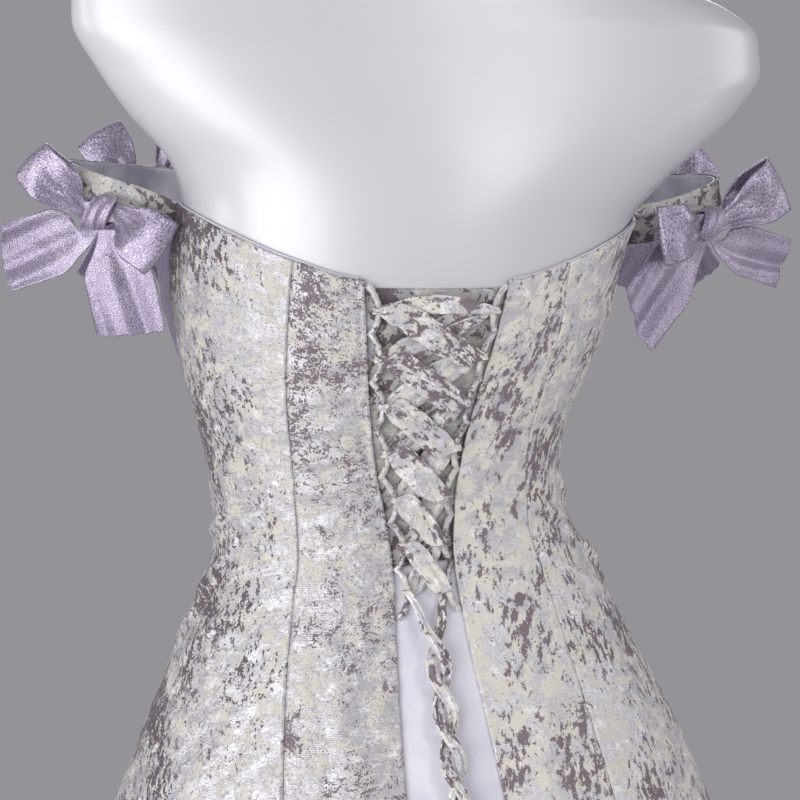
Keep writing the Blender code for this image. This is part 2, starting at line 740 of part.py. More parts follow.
def back_point(across, height, out):
    """A point near the centre back, given by its distance across, its height and its distance from the form."""
    section = gown_section(height)
    return cloth_point(math.degrees(math.asin(across / section.half_width)), height, out)


def half_gap(height):
    return along(BACK_OPENING, "height", "half_gap", height)


def make_loops(side, word, materials, collection):
    """A fine rouleau sewn along the back opening's edge in scallops, one scallop for each level of lacing."""
    points = []
    for i in range(LACE_LEVELS * SCALLOP_STEPS + 1):
        height = LACE_TOP + LACE_PITCH / 2 - i * LACE_PITCH / SCALLOP_STEPS
        bulge = abs(math.sin(math.pi * i / SCALLOP_STEPS))
        foot = half_gap(height) - LOOP_RADIUS - SCALLOP_FOOT_GAP
        reach = foot + (half_gap(height) - LOOP_REACH - foot) * bulge
        points.append(back_point(side * reach, height, LOOP_FOOT_OUT + (LOOP_TIP_OUT - LOOP_FOOT_OUT) * bulge))
    curve = bpy.data.curves.new("lace_loops_" + word, "CURVE")
    curve.dimensions = "3D"
    line = curve.splines.new("POLY")
    line.points.add(len(points) - 1)
    for spot, point in zip(line.points, points):
        spot.co = (*point, 1.0)
    curve.bevel_depth = LOOP_RADIUS
    curve.bevel_resolution = 1
    curve.use_fill_caps = True
    curve.materials.append(materials["brocade"])
    item = bpy.data.objects.new("lace_loops_" + word, curve)
    collection.objects.link(item)


Lay = namedtuple("Lay", "across height out half_width half_thickness")


def lace_route():
    """The whole lace as one row of lays, from one free end up through the loops and down to the other end.

    At each level a leg that runs from the left loop to the right loop lies over the leg that crosses it, and in
    each loop the lace turns back under the scallop."""
    over, under = LOOP_TIP_OUT + HAIRPIN, LOOP_TIP_OUT - HAIRPIN

    def tip(level):
        return half_gap(LACE_TOP - level * LACE_PITCH) - LOOP_REACH

    def broad(height):
        return min(LACE_HALF_WIDTH, LACE_WIDTH_BY_GAP * half_gap(height) - LACE_WIDTH_LESS)

    def leg(level, side):
        """From the loop of this level on one side to the loop below on the other, without its ends."""
        here, there = side * tip(level), -side * tip(level + 1)
        outs = over if side > 0 else under
        made = []
        for step in range(1, LEG_STEPS):
            share = step / LEG_STEPS
            height = LACE_TOP - (level + smooth(share)) * LACE_PITCH
            middle = math.sin(math.pi * share)
            dip = LEG_DIP * middle if side > 0 else 0.0
            wide = HAIRPIN_HALF_WIDTH + (broad(height) - HAIRPIN_HALF_WIDTH) * middle**LACE_FULLNESS
            made.append(Lay(here + (there - here) * share, height, outs - dip, wide, LACE_HALF_THICKNESS))
        return made

    def hairpin(level, side, enters_over):
        """Round the scallop of this level: lays on a half circle."""
        height = LACE_TOP - level * LACE_PITCH
        made = []
        for step in range(HAIRPIN_STEPS + 1):
            turn = math.pi * step / HAIRPIN_STEPS
            out = LOOP_TIP_OUT + HAIRPIN * math.cos(turn) * (1 if enters_over else -1)
            across = side * (tip(level) + HAIRPIN * math.sin(turn))
            made.append(Lay(across, height, out, HAIRPIN_HALF_WIDTH, LACE_HALF_THICKNESS))
        return made

    def strand(first_side):
        """From the top loop on one side down to the last loop."""
        side, made = first_side, []
        for level in range(LACE_LEVELS - 1):
            made += leg(level, side)
            side = -side
            made += hairpin(level + 1, side, enters_over=side < 0)
        return made, side

    def free_end(side):
        """From the last loop down the middle of the back, twisted round the other end, to the cut end."""
        start = LACE_TOP - (LACE_LEVELS - 1) * LACE_PITCH
        hangs_from = start - END_DROP
        leaves = over if side > 0 else under
        made = []
        for step in range(LACE_END_STEPS):
            height = hangs_from - (hangs_from - LACE_END) * step / (LACE_END_STEPS - 1)
            gathered = smooth((start - height) / END_GATHER)
            turn = math.pi * max(0.0, start - TWIST_DROP - height) / TWIST_PITCH
            across = side * TWIST_ACROSS * math.cos(turn)
            out = TWIST_OUT + side * TWIST_DEPTH * math.sin(turn)
            here = side * tip(LACE_LEVELS - 1) * END_IN
            wide = HAIRPIN_HALF_WIDTH + (STRAND_HALF_WIDTH - HAIRPIN_HALF_WIDTH) * gathered
            made.append(Lay(here + (across - here) * gathered, height, leaves + (out - leaves) * gathered,
                            wide, LACE_HALF_THICKNESS * (1 + gathered)))
        return made

    left_strand, left_side = strand(1)
    right_strand, right_side = strand(-1)
    bar = []
    for step in range(1, LEG_STEPS):
        share = step / LEG_STEPS
        middle = math.sin(math.pi * share)
        wide = HAIRPIN_HALF_WIDTH + (BAR_HALF_WIDTH - HAIRPIN_HALF_WIDTH) * middle
        bar.append(Lay(tip(0) * (1 - 2 * share), LACE_TOP + BAR_RISE * middle,
                       under + (over - under) * share, wide, LACE_HALF_THICKNESS))
    route = list(reversed(left_strand + free_end(left_side)))
    route += hairpin(0, 1, True) + bar + hairpin(0, -1, True) + right_strand
    return route + free_end(right_side)


def make_lace(materials, collection):
    """The lace: one folded strip of brocade, wide where it crosses and narrow in the loops."""
    route = lace_route()
    centres = [back_point(lay.across, lay.height, lay.out) for lay in route]
    rings = []
    last_across = Vector((0, 0, 0))
    for i, lay in enumerate(route):
        ahead = (centres[min(i + 1, len(centres) - 1)] - centres[max(i - 1, 0)]).normalized()
        outwards = (back_point(lay.across, lay.height, lay.out + 0.001) - centres[i]).normalized()
        if abs(ahead.dot(outwards)) < 0.6:
            across = ahead.cross(outwards).normalized()
        else:
            across = Vector((0, 0, 1))
        if across.dot(last_across) < 0:
            across = -across
        last_across = across
        thick = across.cross(ahead).normalized()
        wide, deep = across * lay.half_width, thick * lay.half_thickness
        rings.append([centres[i] + wide - deep, centres[i] + wide + deep,
                      centres[i] - wide + deep, centres[i] - wide - deep])
    loft("lace", rings, materials["brocade"], collection)


def main():
    clear_scene()
    materials = make_materials()
    collection = bpy.data.collections.new("evening_dress")
    bpy.context.scene.collection.children.link(collection)
    make_form(materials, collection)
    make_under_layers(materials, collection)
    for side, word in ((1, "left"), (-1, "right")):
        make_back(side, word, materials, collection)
        make_strap(side, word, materials, collection)
        make_loops(side, word, materials, collection)
    make_front(materials, collection)
    for word, bow in BOWS.items():
        make_bow(word, bow, materials, collection)
    make_lace(materials, collection)


main()
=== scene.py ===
"""Looks of the laced evening dress on its dress form.

Metres, +Z up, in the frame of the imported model. The wearer's front faces -Y and the wearer's left side is +X.
Angles round the body are degrees from the centre back, growing towards the wearer's left side.
"""

import math

import bpy
import numpy as np
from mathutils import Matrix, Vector


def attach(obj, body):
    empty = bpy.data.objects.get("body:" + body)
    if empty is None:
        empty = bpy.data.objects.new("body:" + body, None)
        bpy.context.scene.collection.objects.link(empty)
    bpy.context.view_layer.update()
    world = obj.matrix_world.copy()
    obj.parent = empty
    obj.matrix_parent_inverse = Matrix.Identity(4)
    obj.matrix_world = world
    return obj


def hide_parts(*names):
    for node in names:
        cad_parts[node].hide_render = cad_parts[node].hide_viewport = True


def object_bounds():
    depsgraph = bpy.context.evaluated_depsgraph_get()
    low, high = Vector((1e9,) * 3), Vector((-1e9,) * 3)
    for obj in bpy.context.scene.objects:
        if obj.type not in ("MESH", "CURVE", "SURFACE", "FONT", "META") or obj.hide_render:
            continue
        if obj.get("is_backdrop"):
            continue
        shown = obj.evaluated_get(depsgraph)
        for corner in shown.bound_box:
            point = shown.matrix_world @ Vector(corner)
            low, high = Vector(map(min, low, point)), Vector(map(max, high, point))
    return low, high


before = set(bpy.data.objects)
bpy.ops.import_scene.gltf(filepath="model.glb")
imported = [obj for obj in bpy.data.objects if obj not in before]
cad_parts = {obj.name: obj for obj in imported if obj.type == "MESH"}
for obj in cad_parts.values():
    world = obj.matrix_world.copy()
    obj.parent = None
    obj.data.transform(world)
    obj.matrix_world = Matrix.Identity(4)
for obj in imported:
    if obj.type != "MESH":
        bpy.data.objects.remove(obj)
cad_box = [list(corner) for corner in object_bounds()]

# The camera looks at the dress from behind, a little to the wearer's left and a little above the waist.
VIEW_AZIMUTH = 165.0
VIEW_ELEVATION = 8.0
VIEW_DISTANCE = 2.5
VIEW_WIDTH = 0.528
VIEW_TARGET = Vector((-0.0083, 0.0022, 1.139))


def towards(azimuth, elevation):
    """Direction from the dress: azimuth 0 is the wearer's front, 90 the wearer's left side."""
    a, e = math.radians(azimuth), math.radians(elevation)
    return Vector((math.sin(a) * math.cos(e), -math.cos(a) * math.cos(e), math.sin(e)))


def add(name, data):
    """Adds an object with this data to the scene."""
    item = bpy.data.objects.new(name, data)
    bpy.context.scene.collection.objects.link(item)
    return item


def place_at(name, data, spot, look_at):
    """Puts a camera or lamp at a spot and turns it towards a point."""
    item = add(name, data)
    item.location = spot
    item.rotation_euler = (look_at - spot).to_track_quat("-Z", "Y").to_euler()
    return item


lens = bpy.data.cameras.new("view")
lens.sensor_width = 36.0
lens.lens = 36.0 * VIEW_DISTANCE / VIEW_WIDTH
lens.clip_end = 40.0
view_from = VIEW_TARGET + towards(VIEW_AZIMUTH, VIEW_ELEVATION) * VIEW_DISTANCE
bpy.context.scene.camera = place_at("view", lens, view_from, VIEW_TARGET)

# The studio: a plain pale floor in a grey room, a wide bright wall of light to the left of the camera and a
# narrow softbox to the right, which leave the middle of the back a little darker, one at each side, and one
# in front.
SOFTBOXES = [
    # name, azimuth, elevation, distance, width, height, power
    ("box_left", 133.0, 4.0, 2.6, 2.0, 2.2, 44.0),
    ("box_right", 208.0, 22.0, 2.6, 0.7, 1.5, 11.0),
    ("box_side_left", 90.0, 4.0, 2.7, 0.6, 1.6, 8.0),
    ("box_side_right", 258.0, 14.0, 2.7, 0.8, 1.8, 10.0),
    ("box_front", 345.0, 25.0, 3.2, 1.8, 1.8, 26.0),
]
ROOM_GREY = (0.298, 0.291, 0.313, 1.0)
FLOOR_PALE, FLOOR_MOTTLED = (0.62, 0.62, 0.63, 1.0), (0.66, 0.66, 0.67, 1.0)
FLOOR_RADIUS, FLOOR_BELOW = 2.6, 0.0005

for name, azimuth, elevation, distance, width, height, power in SOFTBOXES:
    lamp = bpy.data.lights.new(name, "AREA")
    lamp.shape = "RECTANGLE"
    lamp.size, lamp.size_y = width, height
    lamp.energy = power
    place_at(name, lamp, VIEW_TARGET + towards(azimuth, elevation) * distance, VIEW_TARGET)

room = bpy.data.worlds.new("room")
room.use_nodes = True
room.node_tree.nodes["Background"].inputs["Color"].default_value = ROOM_GREY
bpy.context.scene.world = room
bpy.context.scene.view_settings.view_transform = "Standard"


class Dye:
    """A socket in a material's nodes. Plus, minus, times and divided between dyes and numbers add the Math
    node that works them out, and node() adds any other node: its settings first, then its sockets."""

    def __init__(self, tree, socket=None):
        self.tree, self.socket = tree, socket

    def node(self, kind, settings, sockets, output=0):
        made = self.tree.nodes.new(kind)
        for name, value in settings.items():
            setattr(made, name, value)
        for name, value in sockets.items():
            if isinstance(value, Dye):
                self.tree.links.new(value.socket, made.inputs[name])
            else:
                made.inputs[name].default_value = value
        return Dye(self.tree, made.outputs[output])

    def math(self, operation, first, second=0.0):
        return self.node("ShaderNodeMath", {"operation": operation}, {0: first, 1: second})

    def __add__(self, other):
        return self.math("ADD", self, other)

    def __sub__(self, other):
        return self.math("SUBTRACT", self, other)

    def __mul__(self, other):
        return self.math("MULTIPLY", self, other)

    def __truediv__(self, other):
        return self.math("DIVIDE", self, other)

    def __radd__(self, other):
        return self.math("ADD", other, self)

    def __rsub__(self, other):
        return self.math("SUBTRACT", other, self)

    def __rmul__(self, other):
        return self.math("MULTIPLY", other, self)

    def held(self):
        """Held between 0 and 1."""
        return self.node("ShaderNodeClamp", {}, {"Value": self})

    def over(self, level, sharpness):
        """0 below the level and 1 above it, with a ramp as steep as sharpness between."""
        return ((self - level) * sharpness + 0.5).held()

    def stepped(self, size):
        """Rounded down to whole threads of the given size."""
        return self.math("FLOOR", self / size) * size

    def vector(self, x, y, z=0.0):
        return self.node("ShaderNodeCombineXYZ", {}, {"X": x, "Y": y, "Z": z})

    def noise(self, vector, scale, detail=2.0, roughness=0.5, distortion=0.0):
        return self.node("ShaderNodeTexNoise", {"noise_dimensions": "3D"}, {
            "Vector": vector, "Scale": scale, "Detail": detail, "Roughness": roughness,
            "Distortion": distortion})

    def dip(self, share, first, second):
        """The first colour dyed over by the second as far as share says."""
        return self.node("ShaderNodeMix", {"data_type": "RGBA"}, {0: share, 6: first, 7: second}, 2)

    def parts(self, count=3):
        """A place's x and y, and its z when there are three."""
        return [self.node("ShaderNodeSeparateXYZ", {}, {"Vector": self}, axis) for axis in range(count)]

    def shaded(self, amount):
        """The colour made brighter or darker."""
        return self.node("ShaderNodeVectorMath", {"operation": "SCALE"}, {"Vector": self, "Scale": amount})

    def bump(self, height, depth, strength=1.0):
        return self.node("ShaderNodeBump", {}, {"Height": height, "Distance": depth, "Strength": strength})


def new_finish(name, constants):
    """A material with its own Principled shader: constants are set on the shader's sockets."""
    material = bpy.data.materials.new(name)
    material.use_nodes = True
    shader = material.node_tree.nodes["Principled BSDF"]
    for socket, value in constants.items():
        shader.inputs[socket].default_value = value
    return material, shader, Dye(material.node_tree)


def feed(shader, dye, sockets):
    """Links worked-out values to the shader's sockets."""
    for name, value in sockets.items():
        dye.tree.links.new(value.socket, shader.inputs[name])


def object_place(dye):
    """The point's place in the frame."""
    return dye.node("ShaderNodeTexCoord", {}, {}, 3)


def cut_place(dye):
    """The point's place on the flat cut of its piece, in metres."""
    return dye.node("ShaderNodeUVMap", {"uv_map": "cut"}, {})


def grid_mesh(name, points, closed=False, capped=False, flip=False, uv=None):
    """A mesh through a grid of points (rows, columns, 3). closed joins the last column to the first, and
    capped closes the first and last row with a fan to their middle. uv is a grid (rows, columns) of flat
    places."""
    rows, columns = points.shape[:2]
    spans = columns if closed else columns - 1
    row, column = np.meshgrid(np.arange(rows - 1), np.arange(spans), indexing="ij")
    corners = np.stack([[row, column], [row, column + 1], [row + 1, column + 1], [row + 1, column]])
    corners = corners.reshape(4, 2, -1)
    if flip:
        corners = corners[::-1]
    faces = (corners[:, 0] * columns + corners[:, 1] % columns).T.tolist()
    vertices = points.reshape(-1, 3)
    uv = np.zeros((rows, columns + 1, 2)) if uv is None else uv
    places = [uv[corners[:, 0].T, corners[:, 1].T].reshape(-1, 2)]
    if capped:
        vertices = np.vstack([vertices, points[0].mean(0), points[-1].mean(0)])
        for end, row in enumerate((0, rows - 1)):
            around = np.arange(columns)
            pair = np.stack([around, around + 1] if (end == 1) == flip else [around + 1, around], 1)
            middle = np.full((columns, 1), rows * columns + end)
            faces += np.hstack([row * columns + pair % columns, middle]).tolist()
            fan = np.concatenate([uv[row, pair], np.broadcast_to(uv[row].mean(0), (columns, 1, 2))], 1)
            places.append(fan.reshape(-1, 2))
    mesh = bpy.data.meshes.new(name)
    mesh.from_pydata(vertices.tolist(), [], faces)
    mesh.shade_smooth()
    layer = mesh.uv_layers.new(name="cut")
    layer.data.foreach_set("uv", np.concatenate(places).astype(np.float32).ravel())
    return mesh


def once_round(count):
    """Angles once round, evenly spaced, in radians."""
    return np.linspace(0, 2 * math.pi, count, endpoint=False)


def put(name, mesh, material, nodes):
    """Adds a piece made of a mesh, riding on the one body in place of its CAD nodes."""
    piece = add(name, mesh)
    mesh.materials.append(material)
    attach(piece, "root")
    if nodes:
        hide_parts(*nodes)
    return piece


floor_finish, floor_shader, dye = new_finish("floor", {"Roughness": 0.7})
mottle = dye.noise(object_place(dye), 3.0, 3.0)
feed(floor_shader, dye, {"Base Color": dye.dip(mottle, FLOOR_PALE, FLOOR_MOTTLED)})
turn = once_round(96)
reach = np.array([FLOOR_RADIUS, 0.01])[:, None]
ring = np.stack([reach * np.cos(turn), reach * np.sin(turn), 0 * reach * turn - FLOOR_BELOW], -1)
floor_mesh = grid_mesh("floor", ring, closed=True)
floor_mesh.materials.append(floor_finish)
add("floor", floor_mesh)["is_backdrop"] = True

# The dress form: a smooth armless torso of moulded white plastic with a soft gloss, lofted through oval
# sections. The chest swells into a bust at both sides of the front.
FORM = np.array([
    # height, half width, back depth, front depth, centre x, lean to the side
    (0.790, 0.085, 0.055, 0.050, -0.008, 0.00),
    (0.797, 0.128, 0.086, 0.078, -0.008, 0.00),
    (0.820, 0.153, 0.104, 0.094, -0.008, -0.01),
    (0.870, 0.164, 0.113, 0.098, -0.008, -0.03),
    (0.930, 0.157, 0.107, 0.095, -0.006, -0.06),
    (0.985, 0.138, 0.092, 0.088, -0.004, -0.09),
    (1.030, 0.121, 0.081, 0.082, -0.003, -0.10),
    (1.070, 0.1130, 0.079, 0.080, -0.001, -0.10),
    (1.110, 0.1165, 0.082, 0.084, 0.001, -0.06),
    (1.150, 0.1290, 0.087, 0.091, -0.001, -0.02),
    (1.190, 0.1395, 0.090, 0.097, -0.006, 0.01),
    (1.230, 0.1450, 0.091, 0.100, -0.010, 0.03),
    (1.262, 0.1490, 0.090, 0.098, -0.016, 0.04),
    (1.290, 0.1660, 0.087, 0.091, -0.023, 0.05),
    (1.318, 0.1950, 0.081, 0.081, -0.025, 0.06),
    (1.344, 0.2170, 0.073, 0.070, -0.026, 0.07),
    (1.372, 0.2325, 0.064, 0.060, -0.025, 0.08),
    (1.394, 0.2310, 0.057, 0.054, -0.024, 0.08),
    (1.412, 0.2080, 0.052, 0.051, -0.022, 0.08),
    (1.430, 0.1480, 0.049, 0.050, -0.018, 0.07),
    (1.446, 0.0920, 0.048, 0.050, -0.017, 0.05),
    (1.466, 0.0660, 0.049, 0.051, -0.017, 0.03),
    (1.504, 0.0560, 0.049, 0.050, -0.017, 0.00),
    (1.528, 0.0550, 0.048, 0.049, -0.017, 0.00),
    (1.534, 0.0500, 0.043, 0.044, -0.017, 0.00),
])
FORM_ROWS = [
    # lowest and highest row, and how many
    (0.790, 0.7969, 7), (0.798, 1.44, 250), (1.4425, 1.534, 40),
]
BUST_SWELL = 0.034
BUST_ANGLE, BUST_ANGLE_SPREAD = 132.0, 24.0
BUST_HEIGHT, BUST_HEIGHT_SPREAD = 1.218, 0.054
PLASTIC_WHITE = (0.690, 0.684, 0.722, 1.0)
PLASTIC_WARM = (0.710, 0.704, 0.735, 1.0)


def follow(places, values, spot):
    """Values between the rows of a table: a cubic in each span, whose slope at a row is the harmonic mean of
    the slopes beside it, and level at a peak, so that it never overshoots."""
    places, values = np.asarray(places, float), np.asarray(values, float)
    slope = np.diff(values) / np.diff(places)
    product = slope[:-1] * slope[1:]
    inner = np.where(product > 0, 2 * product / np.where(product > 0, slope[:-1] + slope[1:], 1.0), 0.0)
    tangent = np.concatenate([slope[:1], inner, slope[-1:]])
    spot = np.clip(spot, places[0], places[-1])
    i = np.clip(np.searchsorted(places, spot, side="right") - 1, 0, len(slope) - 1)
    span = places[i + 1] - places[i]
    t = (spot - places[i]) / span
    start = values[i] * (2 * t**3 - 3 * t**2 + 1) + tangent[i] * span * (t**3 - 2 * t**2 + t)
    return start + values[i + 1] * (3 * t**2 - 2 * t**3) + tangent[i + 1] * span * (t**3 - t**2)


def smooth(t):
    """A soft step: 0 up to 0, 1 from 1, and the cubic 3 t squared minus 2 t cubed between."""
    t = np.clip(t, 0.0, 1.0)
    return t * t * (3 - 2 * t)


def bust(angle, height):
    """How far the chest swells: a bell over the angle times a bell over the height."""
    from_back = 180.0 - np.abs(180.0 - np.abs(angle))
    away = (from_back - BUST_ANGLE) / BUST_ANGLE_SPREAD
    above = (height - BUST_HEIGHT) / BUST_HEIGHT_SPREAD
    return BUST_SWELL * np.exp(-away**2 - above**2)


def ring_points(table, angle, height, out):
    """Points of oval sections: half ovals of different depth at the back and front, read from the table at
    each height, moved out along their normal, and leaning sideways in proportion to the distance from the
    middle."""
    half_width, back, front, centre, lean = (follow(table[:, 0], table[:, c], height) for c in range(1, 6))
    turn = np.radians(angle)
    depth = np.where(np.cos(turn) > 0, back, front)
    side_way, back_way = np.sin(turn) / half_width, np.cos(turn) / depth
    size = np.hypot(side_way, back_way)
    side = half_width * np.sin(turn) + side_way / size * out
    return np.stack([centre + side, depth * np.cos(turn) + back_way / size * out, height + lean * side], -1)


height = np.concatenate([np.linspace(*rows) for rows in FORM_ROWS])
angle = np.linspace(-180, 180, 216, endpoint=False)
angle, height = np.meshgrid(angle, height)
torso_points = ring_points(FORM, angle, height, bust(angle, height))
plastic, shader, dye = new_finish("form_plastic", {
    "Specular IOR Level": 0.8, "Coat Weight": 1.0, "Coat Roughness": 0.29, "Coat IOR": 1.75})
spot = object_place(dye)
cloudy = dye.noise(spot, 9.0, 3.0, 0.6)
fine = dye.noise(spot, 420.0, 2.0)
feed(shader, dye, {
    "Base Color": dye.dip(cloudy, PLASTIC_WHITE, PLASTIC_WARM),
    "Roughness": 0.36 + 0.10 * cloudy,
    "Normal": dye.bump(fine * 0.4 + cloudy, 0.0004, 0.35),
})
put("torso_shell", grid_mesh("torso_shell", torso_points, closed=True, capped=True, flip=True), plastic,
    ["form_torso"])

# The stand: a weighted round foot, a pole and a collar under the torso, turned from steel and finished in
# brushed nickel. The collar's screw holds the torso on the pole.
FOOT_RADIUS, FOOT_THICKNESS, FOOT_EDGE = 0.165, 0.014, 0.003
POLE_RADIUS, POLE_EDGE = 0.0145, 0.0005
COLLAR_RADIUS, COLLAR_HEIGHT, COLLAR_EDGE = 0.026, 0.030, 0.002
FORM_BOTTOM, SMALL_GAP = 0.790, 0.0003
NICKEL_LIGHT, NICKEL_DARK = (0.74, 0.74, 0.76, 1.0), (0.62, 0.62, 0.65, 1.0)

nickel, shader, dye = new_finish("brushed_nickel", {"Metallic": 1.0})
spot = object_place(dye)
x, y, z = spot.parts()
rings = dye.noise(dye.vector(x * 12.0, y * 12.0, z * 900.0), 1.0, 3.0, 0.7)
smudge = dye.noise(spot, 14.0, 2.0)
feed(shader, dye, {
    "Base Color": dye.dip(rings, NICKEL_LIGHT, NICKEL_DARK),
    "Roughness": 0.24 + 0.14 * smudge,
    "Normal": dye.bump(rings, 0.0002, 0.5),
})


def turned(name, outline, node):
    """A piece turned on a lathe: an outline of radius and height carried round the upright axis."""
    outline = np.array(outline)
    turn = once_round(128)
    points = np.stack([outline[:, :1] * np.cos(turn), outline[:, :1] * np.sin(turn),
                       outline[:, 1:] + 0 * turn], -1)
    mesh = grid_mesh(name, points, closed=True, capped=True, flip=True)
    put(name, mesh, nickel, [node])


def rounded(radius, low, high, edge):
    """Outline of a disc or rod with rounded rims: quarter circles at the foot and top of a straight side."""
    quarter = np.linspace(0, math.pi / 2, 9)
    lower = np.stack([radius - edge + edge * np.sin(quarter), low + edge - edge * np.cos(quarter)], -1)
    upper = np.stack([radius - edge + edge * np.cos(quarter), high - edge + edge * np.sin(quarter)], -1)
    return np.vstack([[(radius - 2 * edge, low)], lower, upper, [(radius - 2 * edge, high)]])


collar_top = FORM_BOTTOM - SMALL_GAP
collar_bottom = collar_top - COLLAR_HEIGHT
turned("foot_disc", rounded(FOOT_RADIUS, 0.0, FOOT_THICKNESS, FOOT_EDGE), "stand_foot")
turned("pole_rod", rounded(POLE_RADIUS, FOOT_THICKNESS + SMALL_GAP, collar_bottom - SMALL_GAP, POLE_EDGE),
       "stand_pole")
turned("collar_ring", rounded(COLLAR_RADIUS, collar_bottom, collar_top, COLLAR_EDGE), "stand_collar")

# The back of the dress: four panels of jacquard, each cut in one length from the neckline to the hem, seamed
# at the princess lines, with the edges of the back opening folded in. Flat seams, hem turned once.
GOWN_MIDDLE, GOWN_WALL = 0.00295, 0.0015
LOWEST_FOLD = -0.00035
SEAM_GAP, FRONT_SEAM_GAP = 0.0004, 0.0007
WAIST, HEM, BACK_SKIRT_TOP = 1.060, 0.010, 1.044
SIDE_SEAM, FRONT_SEAM, FRONT_CENTRE = 100.0, 138.0, 180.0
FLUTES, FLUTE_DEPTH, FLUTE_TOP = 12, 0.016, 0.84
SKIRT = np.array([
    # height, half width, back depth, front depth, centre x, lean to the side
    (0.000, 0.530, 0.530, 0.440, -0.010, 0.00),
    (0.300, 0.422, 0.388, 0.340, -0.011, 0.00),
    (0.600, 0.308, 0.248, 0.238, -0.012, -0.02),
    (0.780, 0.236, 0.169, 0.171, -0.012, -0.04),
    (0.876, 0.196, 0.135, 0.137, -0.012, -0.06),
    (0.941, 0.167, 0.113, 0.114, -0.008, -0.08),
    (1.000, 0.1390, 0.094, 0.096, -0.004, -0.10),
    (1.030, 0.1250, 0.084, 0.086, -0.003, -0.10),
])
BACK_OPENING = np.array([
    # height, half of the gap between the two edges
    (0.000, 0.1080), (0.400, 0.0720), (0.876, 0.0335), (0.940, 0.0285), (1.000, 0.0230), (1.045, 0.0200),
    (1.080, 0.0230), (1.110, 0.0280), (1.145, 0.0340), (1.190, 0.0420), (1.240, 0.0490),
])
PRINCESS = np.array([
    # height, angle of the princess seam
    (0.000, 29.0), (0.500, 31.0), (0.876, 34.5), (1.000, 39.0), (1.070, 41.5), (1.170, 40.0), (1.250, 38.0),
])
BACK_NECKLINE = np.array([
    # angle, height of the top edge
    (0.0, 1.2270), (20.0, 1.2280), (38.0, 1.2380), (60.0, 1.2520), (80.0, 1.2610), (100.0, 1.2650),
])
BODICE_ROW = 1.225
TOP_FADE = 0.085
FINE_ROW, COARSE_ROW, COARSE_BELOW = 0.0021, 0.0090, 0.82

upper = WAIST + 0.02 * np.arange(12)
bodice = [follow(FORM[:, 0], column, upper) for column in FORM.T[1:]]
GOWN = np.vstack([SKIRT, np.column_stack([upper] + bodice)])


def gown_half_width(height):
    return follow(GOWN[:, 0], GOWN[:, 1], height)


def flute(angle, height):
    """How far the skirt's soft flutes stand out: cosine waves round the skirt that grow from the hip down."""
    grown = smooth((FLUTE_TOP - height) / FLUTE_TOP)
    turn = np.radians(angle)
    return FLUTE_DEPTH * grown * np.cos(FLUTES * turn) * (1 + 0.3 * np.cos(3 * turn + 0.6))


def gown_points(angle, height, out):
    """Points of the dress: over the form's sections above the waist, over the skirt's sections below it."""
    return ring_points(GOWN, angle, height, out + bust(angle, height) + flute(angle, height))


def half_gap(height):
    return follow(BACK_OPENING[:, 0], BACK_OPENING[:, 1], height)


def edge_angle(height):
    return np.degrees(np.arcsin(half_gap(height) / gown_half_width(height)))


def princess_angle(height):
    return follow(PRINCESS[:, 0], PRINCESS[:, 1], height)


def beside(angle, height, distance):
    """An angle moved on by a distance round the dress."""
    return angle + np.degrees(distance / gown_half_width(height))


def seam(at, distance=0.0, side=1):
    """A seam on one side as a function that gives its angle at a height: at is its angle, or a function too,
    and distance moves it on."""
    return lambda height: side * beside(at(height) if callable(at) else at, height, distance)


def neckline(table):
    """Height of a top edge by angle, from the table of that edge."""
    return lambda angle: follow(table[:, 0], table[:, 1], 180.0 - np.abs(180.0 - np.abs(angle)))


